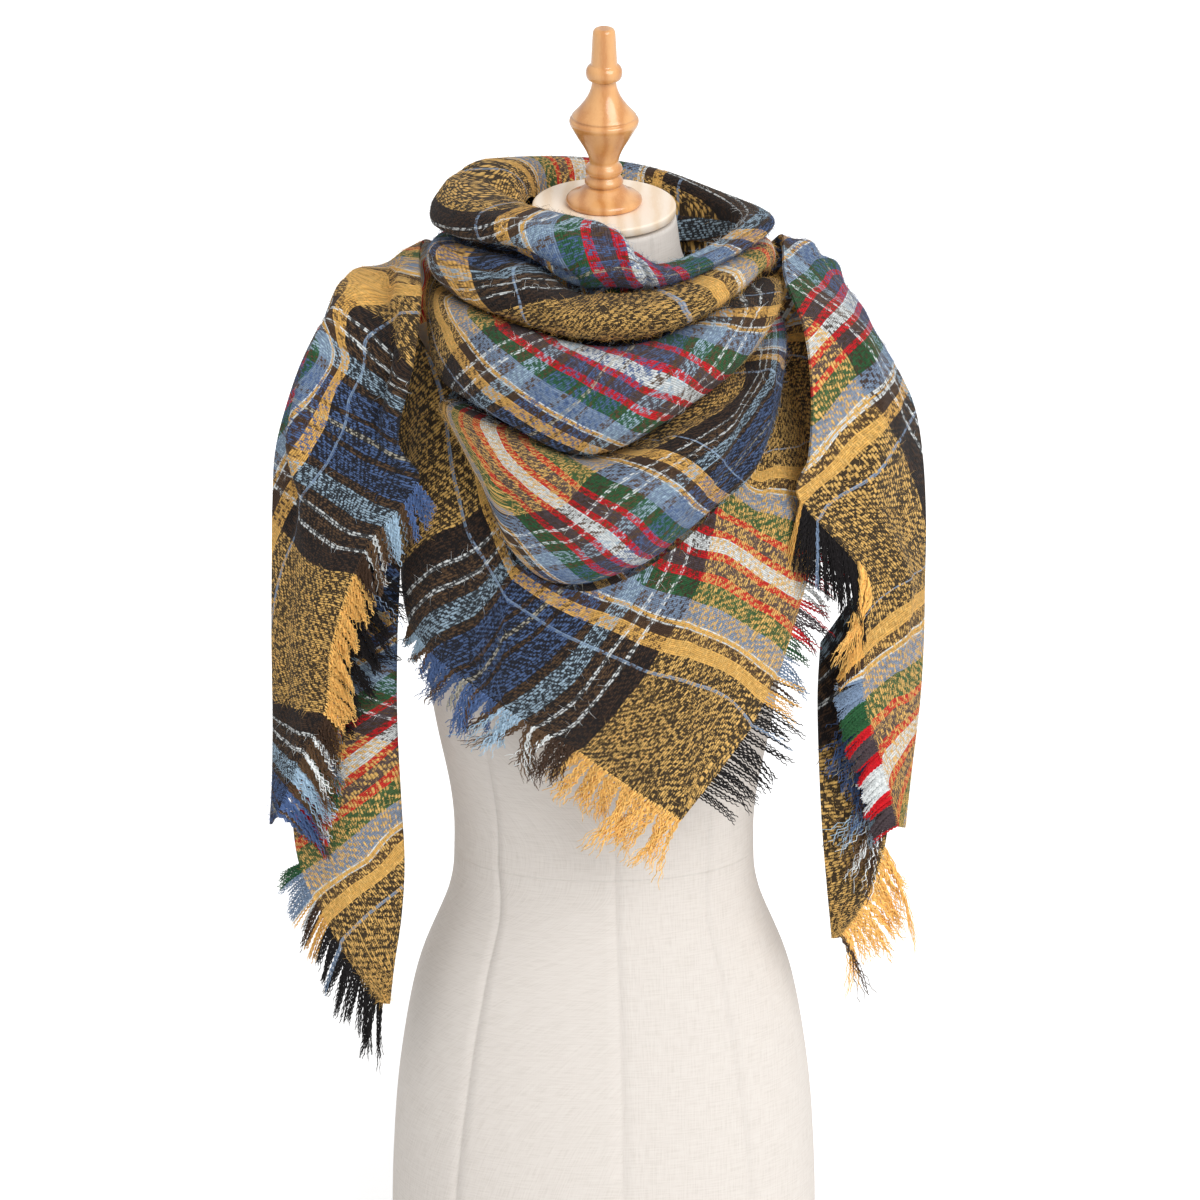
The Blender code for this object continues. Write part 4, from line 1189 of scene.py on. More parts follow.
# %% Creases of the rolls
NECK_CREASES = (
    (0.14, 0.58, 0.28, 0.98, 4, 8, -11.0),
    (0.12, 0.52, 0.21, 0.76, 3, 11, 6.0),
    (0.26, 0.14, 0.37, 0.22, 3, 7, -6.0),
    (0.475, 0.92, 0.52, 0.14, 3, 4.5, -5.0),
    (0.44, 0.84, 0.485, 0.16, 4, 8, 3.5),
    (0.27, 0.62, 0.44, 0.52, 6, 7, -4.0),
    (0.30, 0.30, 0.46, 0.22, -4, 6, -2.6),
    (0.40, 0.74, 0.50, 0.30, 5, 6, 3.0),
    (0.54, 0.60, 0.70, 0.70, 4, 5, -2.2),
    (0.62, 0.40, 0.80, 0.45, -3, 6, 2.4),
    (0.05, 0.55, 0.20, 0.48, 4, 8, -3.4),
    (0.12, 0.30, 0.24, 0.34, -3, 7, 2.2),
    (0.82, 0.60, 0.98, 0.50, 5, 8, -3.2),
    (0.86, 0.28, 0.95, 0.36, 3, 7, 2.0),
)
YELLOW_CREASES = (
    (0.27, 0.82, 0.38, 0.72, 3, 6, -6.0),
    (0.30, 0.70, 0.43, 0.40, 5, 6, -3.4),
    (0.42, 0.62, 0.58, 0.58, -4, 8, 2.4),
    (0.56, 0.45, 0.70, 0.62, 4, 6, -2.6),
    (0.04, 0.60, 0.18, 0.45, 4, 7, -2.8),
    (0.84, 0.55, 0.97, 0.62, -4, 7, -2.4),
)
PLAID_CREASES = (
    (0.58, 0.42, 0.30, 0.86, 4, 8, -5.5),
    (0.30, 0.30, 0.56, 0.22, -5, 7, 2.5),
    (0.64, 0.72, 0.90, 0.52, 5, 8, -3.2),
    (0.16, 0.55, 0.30, 0.72, 3, 6, -2.4),
    (0.44, 0.86, 0.70, 0.30, -8, 7, -3.0),
    (0.52, 0.80, 0.78, 0.44, -8, 8, 2.6),
)
BROAD_CREASES = (
    (0.20, 0.55, 0.48, 0.20, 8, 11, -4.5),
    (0.30, 0.85, 0.62, 0.50, 6, 12, 3.5),
    (0.52, 0.30, 0.84, 0.62, -8, 10, -4.0),
    (0.40, 0.40, 0.58, 0.24, 5, 8, 2.6),
    (0.48, 0.93, 0.78, 0.80, -2, 4, -4.5),
    (0.78, 0.85, 0.66, 0.10, 6, 8, 5.0),
    (0.72, 0.88, 0.58, 0.20, 6, 6, -4.0),
    (0.70, 0.80, 0.92, 0.55, 4, 8, 2.6),
)

# %% Rolls as cloth
measured = {}


def run_on(grid, shares, edge, columns_between=6):
    """Carries a roll's lower lip straight on to the edge of the stretch below it, point by
    point at the same bearing, as the real cloth goes from one roll into the next."""
    start = grid[:, 0]
    bearing, edge_bearing = (np.degrees(np.arctan2(line[:, 0], -line[:, 1]))
                             for line in (start, edge))
    reach, height = (np.interp(bearing, edge_bearing, values, period=360)
                     for values in (np.hypot(edge[:, 0], edge[:, 1]), edge[:, 2]))
    target = polar(bearing, reach, height)
    step = np.linspace(1, 0, columns_between + 1)[:-1]
    web = lerp(start[:, None], target[:, None], step[None, :, None])
    width = stretch_size(grid)[1] / np.ptp(shares[..., 1])
    gap = np.linalg.norm(target - start, axis=1)[:, None] / width
    web_shares = np.repeat(shares[:, :1], columns_between, axis=1)
    web_shares[..., 1] -= gap * step
    return np.concatenate((web, grid), axis=1), np.concatenate((web_shares, shares), axis=1)


def stretch(name, surface, creases, marks, closed=False, hemmed=False, onto=None,
            behind=()):
    """Presses, charts and thickens one stretch, replaces its solid, and keeps its surface
    and chart for the fringe. At a hem both measures start from 0 and only grow."""
    grid, shares = surface
    known = look_up(marks, grid, shares, closed) + list(behind)
    grid = press(grid, shares, creases, closed)
    if onto is not None:
        grid, shares = run_on(grid, shares, onto)
    chart = chart_of(grid, shares, known, closed)
    if hemmed:
        chart = np.abs(chart)
    piece = cloth_shell(name + "_cloth", grid, chart, tartan_cloth, closed)
    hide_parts(name)
    measured[name] = (piece, grid, chart, stretch_size(grid, closed))
    print("   ", name, "measures", [round(value) for value in measured[name][3]], "mm")


neck = roll_surface(NECK_ROLL, 300, 64, True, COLLAR_LIP)
yellow = roll_surface(YELLOW_ROLL, 300, 48, True)
plaid = roll_surface(PLAID_ROLL, 160, 56)
broad = roll_surface(BROAD_FOLD, 180, 64)
point = point_surface(FRONT_POINT, 14, 84)
stretch("neck_roll", neck, NECK_CREASES, NECK_MARKS, closed=True,
        onto=yellow[0][:, -1], behind=NECK_BEHIND)
stretch("yellow_roll", yellow, YELLOW_CREASES, YELLOW_MARKS, closed=True,
        onto=plaid[0][:, -1], behind=YELLOW_BEHIND)
stretch("plaid_roll", plaid, PLAID_CREASES, PLAID_MARKS, onto=broad[0][:, -1])
stretch("broad_fold", broad, BROAD_CREASES, BROAD_MARKS, onto=point[0][:, 0])

# %% [markdown]
# ## The point over the chest
# The corner of the cloth hangs free, so it is the flattest stretch and shows the tartan
# best. Long, shallow folds run down it from the broad fold.

# %% Point
POINT_MARKS = (
    (681, 822, 0, 0), (578, 751, 0.0955, 0), (547, 741, 0.113, None), (532, 730, 0.1255, 0),
    (512, 719, 0.142, None), (487, 702, 0.1635, 0), (461, 686, 0.183, 0), (748, 722, 0, 0.094),
    (771, 697, 0, 0.118), (797, 633, 0, 0.175), (806, 606, 0, 0.191), (662, 644, 0.0955, 0.118),
    (700, 578, 0.0955, 0.175), (706, 556, 0.0955, 0.191), (647, 673, 0.0955, 0.094),
    (608, 620, 0.142, 0.118), (641, 581, 0.142, 0.155), (551, 597, 0.183, 0.118),
    (588, 646, 0.142, 0.094), (540, 694, 0.142, 0.03), (650, 564, None, 0.175),
    (739, 594, None, 0.175), (773, 610, None, 0.175), (764, 586, None, 0.191),
    (789, 599, None, 0.191), (726, 546, None, 0.2), (756, 566, None, 0.2), (789, 589, None, 0.2),
    (720, 534, None, 0.209), (766, 559, None, 0.209), (739, 523, None, 0.225),
    (778, 546, None, 0.225), (748, 511, None, 0.237), (783, 529, None, 0.237),
    (769, 488, None, 0.265), (763, 481, None, 0.282), (783, 473, None, 0.282),
    (710, 542, 0.0955, None), (506, 556, None, 0.118), (456, 490, None, 0.094),
    (456, 528, 0.2705, None), (447, 561, 0.2525, None), (499, 576, 0.224, None),
    (513, 597, 0.2025, None), (464, 531, None, 0.094),
)
POINT_CREASES = (
    (0.21, 0.00, 0.26, 0.85, 6, 12, -4.0),
    (0.30, 0.02, 0.35, 0.80, -6, 11, 3.2),
    (0.41, 0.00, 0.47, 0.70, 6, 12, -3.2),
    (0.59, 0.00, 0.53, 0.75, 6, 12, 2.6),
    (0.71, 0.00, 0.64, 0.70, -6, 11, -3.0),
    (0.79, 0.05, 0.76, 0.80, 4, 9, 2.4),
)
stretch("front_point", point, POINT_CREASES, POINT_MARKS, hemmed=True)

# %% [markdown]
# ## The two ends
# Each end comes from behind the neck, over the shoulder and down the front of the arm. It is
# folded lengthwise, so it shows an outer layer and, lower down, an under layer.

# %% Known places on the left end
LEFT_OVER_MARKS = (
    (325.4, 346.4, None, 0.175), (297.3, 364.7, None, 0.175), (283.3, 398.4, None, 0.175),
    (310, 339.4, None, 0.191), (314.2, 364.7, None, 0.163), (280.5, 423.6, None, 0.163),
    (322.6, 390, None, 0.135), (300, 412, None, 0.135), (286, 451.7, None, 0.135),
    (326.8, 409.6, None, 0.118), (303, 457.3, None, 0.118), (277.7, 519, None, 0.118),
    (297.3, 527.4, None, 0.094), (283.3, 558.3, None, 0.094), (373, 510.6, None, 0),
    (364.7, 561, None, 0), (347.8, 594.8, None, 0), (339.4, 628.4, None, 0), (334, 668, None, 0),
    (322.6, 752.6, None, 0), (305.8, 783.5, None, 0), (294.5, 817, None, 0),
    (398.4, 426.4, None, 0.05), (333.8, 342.2, None, 0.118), (352, 318, None, 0.105),
    (345, 345, None, 0.1), (372, 330, None, 0.098), (375, 360, None, 0.08),
    (400, 372, None, 0.066), (345, 400, None, 0.092), (372, 410, None, 0.07),
    (333, 385, None, 0.112), (330, 425, None, 0.11), (352, 440, None, 0.082),
    (372, 470, None, 0.04), (345, 482, None, 0.065), (350.7, 300, None, 0.118),
    (387, 269.3, None, 0.118), (409.6, 291.7, None, 0.118), (395.5, 258, None, 0.163),
    (409.6, 249.6, None, 0.175), (353.5, 304.4, 0.0955, None), (375.9, 314.2, 0.0955, None),
    (395.5, 347.8, 0.0955, None), (401.2, 370.3, 0.0955, None), (350.7, 325.4, 0.119, None),
    (367.5, 339.4, 0.119, None), (387.1, 361.9, 0.119, None), (340.8, 359, 0.142, None),
    (361.9, 375.9, 0.142, None), (389.9, 395.5, 0.142, None), (342.2, 395.5, 0.1635, None),
    (364.7, 406.8, 0.1635, None), (395.5, 426.4, 0.1635, None), (342.2, 427.8, 0.183, None),
    (361.9, 437.6, 0.183, None), (389.9, 453, 0.183, None), (342.2, 465.7, 0.2025, None),
    (364.7, 476.9, 0.2025, None), (398.4, 491, 0.2025, None), (280.5, 446, 0.224, None),
    (311.4, 471.3, 0.224, None), (333.8, 491, 0.224, None), (353.5, 505, 0.224, None),
    (370.3, 510.6, 0.224, None), (342.2, 541.5, 0.2465, None), (286, 534.4, 0.2705, None),
    (350.6, 570.9, 0.2705, None), (275, 704, 0.3805, None), (300, 710, 0.3805, None),
    (330, 716, 0.3805, None), (274.9, 720.3, 0.405, None), (274.9, 755.4, 0.4275, None),
    (303, 777.8, 0.4275, None), (277.7, 789, 0.449, None), (294.5, 803, 0.449, None),
)
LEFT_UNDER_MARKS = (
    (324, 825.5, None, 0.175), (361.9, 797.5, None, 0.175), (398.4, 770.8, None, 0.175),
    (364.7, 769.4, None, 0.191), (397, 740, None, 0.191), (305.8, 856.4, None, 0.163),
    (342.2, 831.2, None, 0.163), (398.4, 791.9, None, 0.163), (314.2, 876, None, 0.147),
    (395.5, 811.5, None, 0.147), (314.2, 899.9, None, 0.135), (370.3, 862, None, 0.135),
    (401.2, 825.5, None, 0.135), (322.6, 916.7, None, 0.118), (364.7, 883, None, 0.118),
    (402.6, 846.6, None, 0.118), (340.8, 942, None, 0.094), (404, 887.3, None, 0.094),
    (387, 1008, 0, 0.03), (298.7, 878.9, 0, None), (317, 925, 0, None), (333.8, 929, 0, None),
    (342.2, 943.4, 0, None), (353.5, 963, 0, None), (401, 825, 0.085, None),
    (404, 887, 0.06, None), (397, 740, 0.095, None), (384, 690, 0.14, 0.237),
)

# %% Known places on the right end
RIGHT_OVER_MARKS = (
    (800.3, 314.7, 0.0955, None), (821.4, 320.3, 0.0955, None), (836.8, 338.5, 0.0955, None),
    (852.2, 356.8, 0.0955, None), (863.5, 382, 0.0955, None), (874.7, 401.7, 0.0955, None),
    (888.7, 421.3, 0.0955, None), (897.1, 440.9, 0.0955, None), (919.6, 488.6, 0.0955, None),
    (846.6, 314.7, 0.119, None), (885.9, 379.2, 0.119, None), (908.4, 418.5, 0.119, None),
    (860.7, 320.3, 0.142, None), (897.1, 376.4, 0.142, None), (869.1, 700.3, 0, None),
    (877.5, 717.1, 0, None), (885.9, 742.4, 0, None), (897.1, 762, 0, None),
    (921, 530, 0.09, None), (921, 596, 0.065, None), (919, 686, 0.045, None),
    (824.2, 511.1, None, 0.402), (897.1, 440.9, None, 0.402), (793.3, 508.3, None, 0.426),
    (824.2, 477.4, None, 0.426), (860.7, 440.9, None, 0.426), (888.7, 415.7, None, 0.426),
    (807.3, 463.4, None, 0.443), (832.6, 432.5, None, 0.443), (871.9, 398.9, None, 0.443),
    (888.7, 382, None, 0.443), (810.1, 440.9, None, 0.455), (860.7, 384.8, None, 0.455),
    (810.1, 418.5, None, 0.471), (857.8, 365.2, None, 0.471), (874.7, 342.7, None, 0.471),
    (810.1, 393.2, None, 0.483), (835.4, 365.2, None, 0.483), (860.7, 337.1, None, 0.483),
    (807.3, 365.2, None, 0.499), (821.4, 348.4, None, 0.499), (850.8, 323.1, None, 0.499),
    (807.3, 351.2, None, 0.508), (821.4, 334.3, None, 0.508), (849.4, 306.3, None, 0.508),
    (807.3, 334.3, None, 0.517), (821.4, 317.5, None, 0.517), (842.4, 292.2, None, 0.517),
    (800.3, 314.7, None, 0.533), (813, 292.2, None, 0.533), (828.4, 275.4, None, 0.533),
    (807.3, 281, None, 0.545), (804.5, 261.4, None, 0.561), (779.3, 236, None, 0.59),
    (874.7, 600.9, None, 0.306), (897.1, 584, None, 0.306), (921, 570, None, 0.306),
    (885.9, 630.1, None, 0.282), (908.4, 613.3, None, 0.282), (921, 596.5, None, 0.282),
    (871.9, 666.6, None, 0.265), (897.1, 647, None, 0.265), (919.6, 630.1, None, 0.265),
    (874.7, 703.1, None, 0.237), (897.1, 683.5, None, 0.237), (919, 672.2, None, 0.237),
    (874.7, 719.9, None, 0.225), (908.4, 697.5, None, 0.225), (880.3, 748, None, 0.209),
    (908.4, 719.9, None, 0.209), (897.1, 750.8, None, 0.2), (914, 728.4, None, 0.2),
    (897.1, 767.6, None, 0.191), (911.2, 745.2, None, 0.191), (900, 804, None, 0.175),
)
RIGHT_UNDER_MARKS = (
    (884, 860, 0.33, 0), (862, 900, 0.35, 0), (835, 930, 0.37, 0), (824, 790, 0.29, 0.062),
    (826, 860, 0.32, 0.062), (830, 900, 0.345, 0.04),
)

# %% Ends
LEFT_CREASES = (
    (0.43, 0.50, 0.70, 0.68, 6, 7, 7.0),
    (0.45, 0.60, 0.70, 0.80, 6, 5, -5.0),
    (0.48, 0.22, 0.63, 0.12, 3, 8, -12.0),
    (0.50, 0.10, 0.66, 0.06, 2, 5, 3.0),
    (0.62, 0.75, 0.92, 0.62, 5, 12, -3.0),
    (0.70, 0.30, 0.95, 0.35, -5, 10, 2.2),
    (0.08, 0.40, 0.30, 0.30, 6, 9, -3.4),
    (0.12, 0.72, 0.34, 0.66, -5, 9, 3.0),
)
RIGHT_CREASES = (
    (0.48, 0.35, 0.62, 0.25, 4, 8, -3.4),
    (0.46, 0.70, 0.66, 0.62, 4, 9, 3.0),
    (0.68, 0.42, 0.92, 0.50, -4, 10, -2.4),
    (0.10, 0.45, 0.30, 0.34, 6, 9, -3.2),
    (0.14, 0.74, 0.36, 0.68, -5, 9, 2.8),
)
UNDER_CREASES = (
    (0.20, 0.60, 0.85, 0.40, 5, 10, -2.4),
    (0.10, 0.25, 0.60, 0.30, -4, 9, 2.0),
)
stretch("left_end_over", end_surface(LEFT_OVER, LEFT_PLEATS, 300, 60), LEFT_CREASES,
        LEFT_OVER_MARKS, hemmed=True)
stretch("left_end_under", end_surface(LEFT_UNDER, UNDER_PLEATS, 160, 44), UNDER_CREASES,
        LEFT_UNDER_MARKS, hemmed=True)
stretch("right_end_over", end_surface(RIGHT_OVER, RIGHT_PLEATS, 300, 60), RIGHT_CREASES,
        RIGHT_OVER_MARKS, hemmed=True)
stretch("right_end_under", end_surface(RIGHT_UNDER, (), 130, 44), UNDER_CREASES,
        RIGHT_UNDER_MARKS, hemmed=True)

# %% [markdown]
# ## Fringe
# Along two edges the crossing yarns were pulled out. The warp ends are twisted, smooth and
# mostly dark, and hang in small groups. The weft ends are soft, keep the crimp of the weave
# and fluff up. Each end is a thin tube of four sides along its own path, and one mesh holds
# all of an edge's ends, made as arrays.

# %% Hems
def hem_of(name, first, last, column):
    """A hem between two shares of a stretch's length: its line half way through the cloth,
    which way is out of the cloth, which way it faces, and its place on the flat cloth."""
    grid, chart = measured[name][1:3]
    count = len(grid) - 1
    span = slice(round(first * count), round(last * count) + 1)
    inward = 1 if column == 0 else -2
    facing = outward_normals(grid)[span, column]
    line = grid[span, column] - facing * CLOTH / 2
    out = unit(np.cross(np.gradient(line, axis=0), facing))
    out = out * np.sign((out * (grid[span, column] - grid[span, inward])).sum())
    return line, out, facing, chart[span, column]


def hem_across(name, start, end, way, places, lift=5.0, stations=60):
    """The hem of a folded-over layer, which lies on a stretch between two (along, across)
    shares of it: its line is lifted off the stretch, and its place on the flat cloth runs
    evenly between two known ones."""
    grid = measured[name][1]
    along, across = (np.linspace(start[axis], end[axis], stations) * (grid.shape[axis] - 1)
                     for axis in (0, 1))
    i = np.minimum(along.astype(int), grid.shape[0] - 2)
    j = np.minimum(across.astype(int), grid.shape[1] - 2)
    down, over = (along - i)[:, None], (across - j)[:, None]
    line, facing = (lerp(lerp(source[i, j], source[i + 1, j], down),
                         lerp(source[i, j + 1], source[i + 1, j + 1], down), over)
                    for source in (grid, outward_normals(grid)))
    facing = unit(facing)
    way = np.array(way, dtype=float)
    out = unit(way - facing * (facing @ way)[:, None])
    chart = lerp(np.array(places[0]), np.array(places[1]), np.linspace(0, 1, stations)[:, None])
    return line + facing * lift, out, facing, chart


# %% Many thin tubes at once
def tube_rings(sides, first, second):
    """For each tube, the directions from its middle line to its sides: cos(angle) * first +
    sin(angle) * second."""
    angle = np.arange(sides) * 2 * np.pi / sides
    return (np.cos(angle)[:, None] * first[:, None, None]
            + np.sin(angle)[:, None] * second[:, None, None])


def tube_faces(count, rings, sides):
    """Corner numbers of every square of many tubes of rings, tube by tube."""
    base = (np.arange(count) * rings * sides)[:, None, None]
    ring = np.arange(rings - 1)[None, :, None] * sides
    side = np.arange(sides)[None, None, :]
    follow = (side + 1) % sides
    corners = (base + ring + side, base + ring + follow, base + ring + sides + follow,
               base + ring + sides + side)
    return np.stack(np.broadcast_arrays(*corners), axis=-1).reshape(-1, 4)


# %% Yarn ends
SIDES = 4
# Spacing and radius in millimetres, steps along, waves of the crimp and its size. The ends
# gather into clumps of some width: how far they close there, how much a clump and an end
# lean, and how uneven the lengths of clumps and of ends are.
END_KINDS = {
    "warp": dict(spacing=2.4, radius=0.58, steps=26, waves=8.0, crimp=0.55, clump=6.0,
                 closing=0.25, clump_lean=0.07, lean=0.04, clump_uneven=0.12, uneven=0.08,
                 rows=2),
    "weft": dict(spacing=1.5, radius=0.5, steps=16, waves=5.0, crimp=1.2, clump=7.0,
                 closing=0.5, clump_lean=0.22, lean=0.12, clump_uneven=0.22, uneven=0.16,
                 rows=4),
}
ROOT_TUCK = 1.5                  # millimetres that an end starts inside the hem
LAYER_GAP = 0.7                  # millimetres between the rows of ends of one hem
CLUMP_CURL, END_CURL = 0.10, 0.04   # spread of the bends off the cloth
CRIMP_RISE, CLOSING_RISE = 5, 1.3   # 1 / the share of an end's length where each is full
CRIMP_DEPTH = 0.6                # of the crimp's width
TIP_THINNING = 0.5               # the share of its radius that an end loses by its tip


def strewn_roots(hem, how):
    """Roots of the ends on a hem: rows of them at even steps, each a little out of place.
    Gives the hem's length, each root's distance along it and its row, and then its point,
    its directions out, outwards from the cloth and along the hem, and its pattern place."""
    line, out, facing, chart = hem
    legs = np.append(0, np.cumsum(np.linalg.norm(np.diff(line, axis=0), axis=1)))
    per_row = max(int(legs[-1] / how["spacing"]), 3)
    spot = np.tile((np.arange(per_row) + 0.5) * legs[-1] / per_row, how["rows"])
    layer = np.repeat(np.arange(how["rows"]), per_row)
    spot = spot + chance.uniform(-0.5, 0.5, len(spot)) * how["spacing"]
    spot = np.clip(spot, 0, legs[-1])
    tangent = unit(np.gradient(line, axis=0))
    root, out, facing, mark, side = (np.stack([np.interp(spot, legs, part[:, axis])
                                               for axis in range(part.shape[1])], axis=1)
                                     for part in (line, out, facing, chart, tangent))
    out, facing = unit(out), unit(facing)
    side = unit(side - out * (side * out).sum(axis=1)[:, None])
    return legs[-1], spot, layer, root, out, facing, side, mark


def grown_paths(roots, how, droop, lengths, skews, lift):
    """The middle lines of the ends, how far out each step of them is in millimetres, and
    each step's share of the length. With bent = reach ** 2 / length, a path is
    start + out * reach + side * (skew * reach + lean * bent + closing + crimp * sin(turns))
    + facing * (CRIMP_DEPTH * crimp * cos(turns) + curl * bent) - up * droop * bent, and the
    crimp and closing grow from 0 at the root."""
    hem_length, spot, layer, root, out, facing, side = roots[:7]
    count = len(spot)
    clump = np.floor(spot / how["clump"]).astype(int)
    clumps = clump.max() + 1
    centre = (np.arange(clumps) + chance.uniform(0.25, 0.75, clumps)) * how["clump"]
    closing = ((centre[clump] - spot) * how["closing"])[:, None, None]
    along = np.linspace(0, 1, how["steps"] + 1)[None, :, None]
    own = (np.interp(spot / hem_length, *zip(*lengths))
           * (1 + how["clump_uneven"] * chance.uniform(-1, 0.8, clumps)[clump])
           * (1 + how["uneven"] * chance.uniform(-1, 0.6, count)))[:, None, None]
    lean = (how["clump_lean"] * chance.normal(0, 1, clumps)[clump]
            + how["lean"] * chance.normal(0, 1, count))[:, None, None]
    curl = (CLUMP_CURL * chance.normal(0, 1, clumps)[clump]
            + END_CURL * chance.normal(0, 1, count))[:, None, None]
    skew = np.interp(spot / hem_length, *zip(*skews))[:, None, None]
    phase = (chance.uniform(0, 2 * np.pi, clumps)[clump]
             + chance.uniform(-1.2, 1.2, count))[:, None, None]
    speed = how["waves"] * chance.uniform(0.85, 1.15, count)[:, None, None]
    turns = 2 * np.pi * speed * along + phase
    loose = how["crimp"] * np.minimum(along * CRIMP_RISE, 1)
    closed_in = closing * np.minimum(along * CLOSING_RISE, 1)
    reach = own * along
    from_middle = (layer - (how["rows"] - 1) / 2) * LAYER_GAP
    start = root - out * ROOT_TUCK + facing * (lift + from_middle)[:, None]
    path = (start[:, None] + out[:, None] * reach
            + side[:, None] * (skew * reach + lean * reach * along + closed_in
                               + loose * np.sin(turns))
            + facing[:, None] * (loose * CRIMP_DEPTH * np.cos(turns) + curl * reach * along)
            - np.array((0, 0, 1.0)) * droop * reach * along)
    return path, reach, along


def yarn_ends(name, hem, kind, droop, solid, slot, lengths, skews=((0, 0),), lift=0.0,
              **changes):
    """All the loose ends of one hem as one mesh of thin tubes, which narrow towards their
    tips. Lengths is a table of (share of the hem, length), and skews one of (share of the
    hem, how far the ends lean along it for each millimetre out)."""
    how = {**END_KINDS[kind], **changes}
    roots = strewn_roots(hem, how)
    path, reach, along = grown_paths(roots, how, droop, lengths, skews, lift)
    hem_length, facing, side, mark = roots[0], *roots[5:]
    count = len(path)
    radius = how["radius"] * chance.uniform(0.8, 1.25, count)[:, None, None, None]
    thin = (1 - TIP_THINNING * along ** 2)[..., None]
    points = path[:, :, None] + tube_rings(SIDES, side, facing) * radius * thin
    rings = how["steps"] + 1
    run = (reach * MM)[..., 0]
    flat = np.stack((mark[:, :1] + (run if kind == "warp" else 0 * run),
                     mark[:, 1:] + (run if kind == "weft" else 0 * run)), axis=-1)
    low, high = (np.repeat(part[:, :, None], SIDES, axis=2)
                 for part in (flat[:, :-1], flat[:, 1:]))
    marks = np.stack((low, low, high, high), axis=3)
    first = (np.arange(count) * rings * SIDES)[:, None]
    caps = np.stack([first + np.arange(SIDES)[::-1],
                     first + (rings - 1) * SIDES + np.arange(SIDES)], axis=1)
    cap_marks = np.repeat(flat[:, [0, -1]][:, :, None], SIDES, axis=2)
    faces = np.concatenate((tube_faces(count, rings, SIDES), caps.reshape(-1, 4)))
    marks = np.concatenate((marks.reshape(-1, 4, 2), cap_marks.reshape(-1, 4, 2)))
    piece = mesh_piece(name, points.reshape(-1, 3), faces, marks,
                       weft_ends if kind == "weft" else warp_ends)
    if solid:
        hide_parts(solid)
    print("   ", count, "ends over", round(hem_length), "mm of hem")
    return piece


# %% Fringe of the point and of the ends
def share_of(row, table):
    """A row's share of its table's length."""
    return row / (len(table) - 1)


POINT_ROWS = (2, 8, 8.5, 13)
left_start, corner, right_start, right_end = (share_of(row, FRONT_POINT) for row in POINT_ROWS)
point_weft = yarn_ends(
    "point_weft_ends", hem_of("front_point", left_start, corner, -1), "weft", 0.25,
    "point_weft_fringe", "weft_fringe", ((0, 28), (0.3, 34), (0.6, 42), (0.8, 46), (1, 38)),
    ((0, -0.5), (0.55, -0.3), (0.7, 0), (1, 0.1)))
point_warp = yarn_ends(
    "point_warp_ends", hem_of("front_point", right_start, right_end, -1), "warp", 0.1,
    "point_warp_fringe", "warp_fringe", ((0, 40), (0.4, 48), (1, 42)))
left_over_ends = yarn_ends(
    "left_over_ends", hem_of("left_end_over", share_of(10, LEFT_OVER), 1, 0), "weft", 0.4,
    "left_over_fringe", "weft_fringe",
    ((0, 20), (0.3, 20), (0.38, 19), (0.72, 19), (0.8, 30), (1, 36)),
    ((0, 0.5), (1, 0.2)), crimp=1.5)
left_under_ends = yarn_ends(
    "left_under_ends", hem_of("left_end_under", share_of(5, LEFT_UNDER), 1, -1), "warp", 0.2,
    "left_under_fringe", "warp_fringe", ((0, 24), (0.4, 30), (0.7, 40), (1, 46)),
    ((0, 0.1), (0.4, 0.6), (1, 0.9)), spacing=1.3, rows=3, clump=5.0)
left_fold_ends = yarn_ends(
    "left_fold_ends", hem_across("left_end_under", (0.12, 0.25), (0.55, 0.90), (0.8, 0, -0.6),
                                 ((0.0, 0.42), (0.0, 0.17))), "warp", 0.1,
    "left_fold_fringe", "blue_fringe", ((0, 46), (0.5, 40), (1, 34)), spacing=1.6, rows=3,
    crimp=0.9, clump_lean=0.25)
right_over_ends = yarn_ends(
    "right_over_ends", hem_of("right_end_over", share_of(11, RIGHT_OVER), 1, 0), "warp", 0.3,
    "right_over_fringe", "warp_fringe",
    ((0, 34), (0.25, 26), (0.4, 22), (0.5, 24), (1, 22)),
    ((0, 0.9), (0.25, 1.5), (0.4, 0.8), (0.55, 0), (1, 0)), spacing=1.15, radius=0.7,
    rows=3)
right_bundle = yarn_ends(
    "right_bundle_ends", hem_of("right_end_over", share_of(11.8, RIGHT_OVER),
                                share_of(12.4, RIGHT_OVER), 0), "weft", 0.3, None,
    "weft_fringe", ((0, 26), (1, 30)), ((0, 1.4), (1, 1.1)), lift=3.0, clump=14.0)
right_under_ends = yarn_ends(
    "right_under_ends", hem_of("right_end_under", share_of(3.4, RIGHT_UNDER), 1, -1), "weft",
    0.3, "right_under_fringe", "weft_fringe", ((0, 40), (1, 44)), ((0, 0.4), (1, 0.2)))
right_fold_ends = yarn_ends(
    "right_fold_ends", hem_across("right_end_under", (0.22, 0.50), (0.52, 0.88),
                                  (-0.75, 0, -0.65), ((0.15, 0.0), (0.26, 0.0))), "weft", 0.2,
    "right_fold_fringe", "blue_fringe", ((0, 40), (1, 48)), crimp=1.8, lean=0.2)

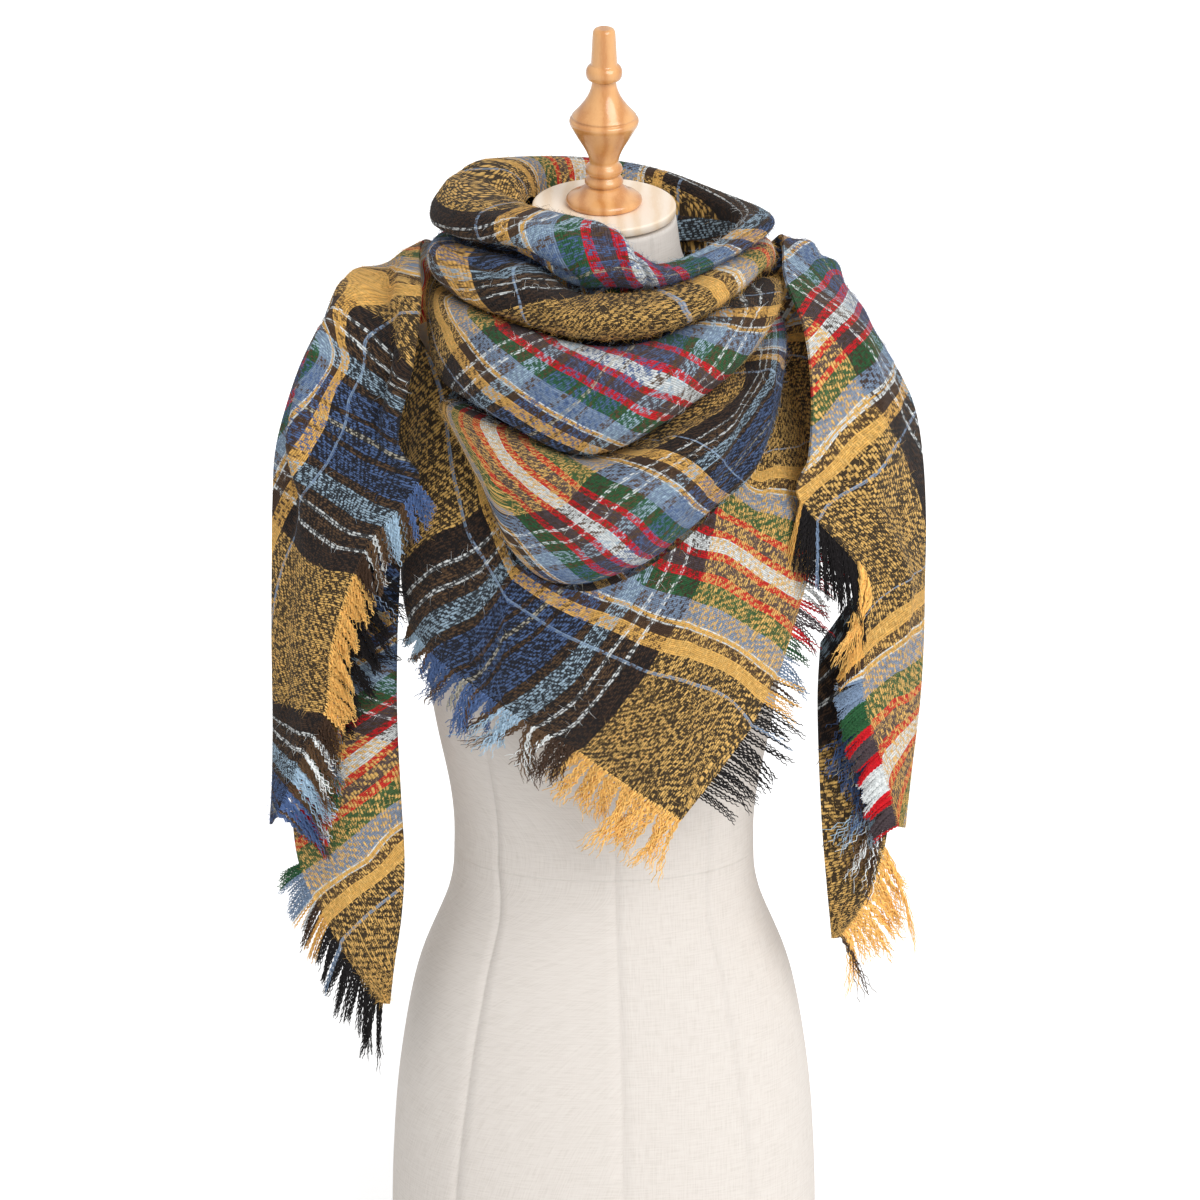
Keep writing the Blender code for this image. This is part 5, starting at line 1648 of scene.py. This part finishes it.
# %% [markdown]
# ## Loose hairs
# Brushing lifts single hairs off the cloth. They are what makes its outline soft. Each one
# is a thin, bent tube of three sides that starts on the cloth and leans over.

# %% Hairs of the nap
HAIRS_PER_SQUARE_METRE = 42000
HAIR_LENGTH, HAIR_RADIUS = 6.0, 0.13
HAIR_ROOT = 0.4                  # millimetres that a hair starts inside the cloth
HAIR_THINNING = 0.7              # the share of its radius that a hair loses by its tip
HAIR_RINGS, HAIR_SIDES = 3, 3


def nap_hairs(name):
    """Hairs strewn over one stretch: path = root + up * height * t + drift * length * t ** 2,
    read at the root, the middle and the tip."""
    grid, chart, size = measured[name][1:]
    count = int(size[0] * size[1] * MM * MM * HAIRS_PER_SQUARE_METRE)
    i, j = (chance.integers(0, grid.shape[axis] - 1, count) for axis in (0, 1))
    down, over = chance.uniform(0, 1, (2, count, 1))
    root, up, mark = (lerp(lerp(source[i, j], source[i + 1, j], down),
                           lerp(source[i, j + 1], source[i + 1, j + 1], down), over)
                      for source in (grid, outward_normals(grid), chart))
    up = unit(up)
    drift = chance.normal(0, 1, (count, 3)) - (0, 0, 0.3)
    drift = unit(drift - up * (drift * up).sum(axis=1)[:, None])
    along = np.linspace(0, 1, HAIR_RINGS)[None, :, None]
    length = HAIR_LENGTH * chance.uniform(0.4, 1.2, count)[:, None, None]
    height = length * chance.uniform(0.15, 0.7, count)[:, None, None]
    path = ((root - up * HAIR_ROOT)[:, None] + up[:, None] * height * along
            + drift[:, None] * length * along ** 2)
    across, lifted = np.cross(up, drift), unit(up - drift)
    thin = 1 - HAIR_THINNING * along[..., None]
    points = path[:, :, None] + tube_rings(HAIR_SIDES, across, lifted) * HAIR_RADIUS * thin
    faces = tube_faces(count, HAIR_RINGS, HAIR_SIDES)
    squares = (HAIR_RINGS - 1) * HAIR_SIDES
    marks = np.repeat(mark, squares * 4, axis=0).reshape(-1, 4, 2)
    # The hairs take the weft ends' material, with its painted light gain.
    return mesh_piece(name + "_nap", points.reshape(-1, 3), faces, marks, weft_ends)


naps = {name: nap_hairs(name) for name in measured}
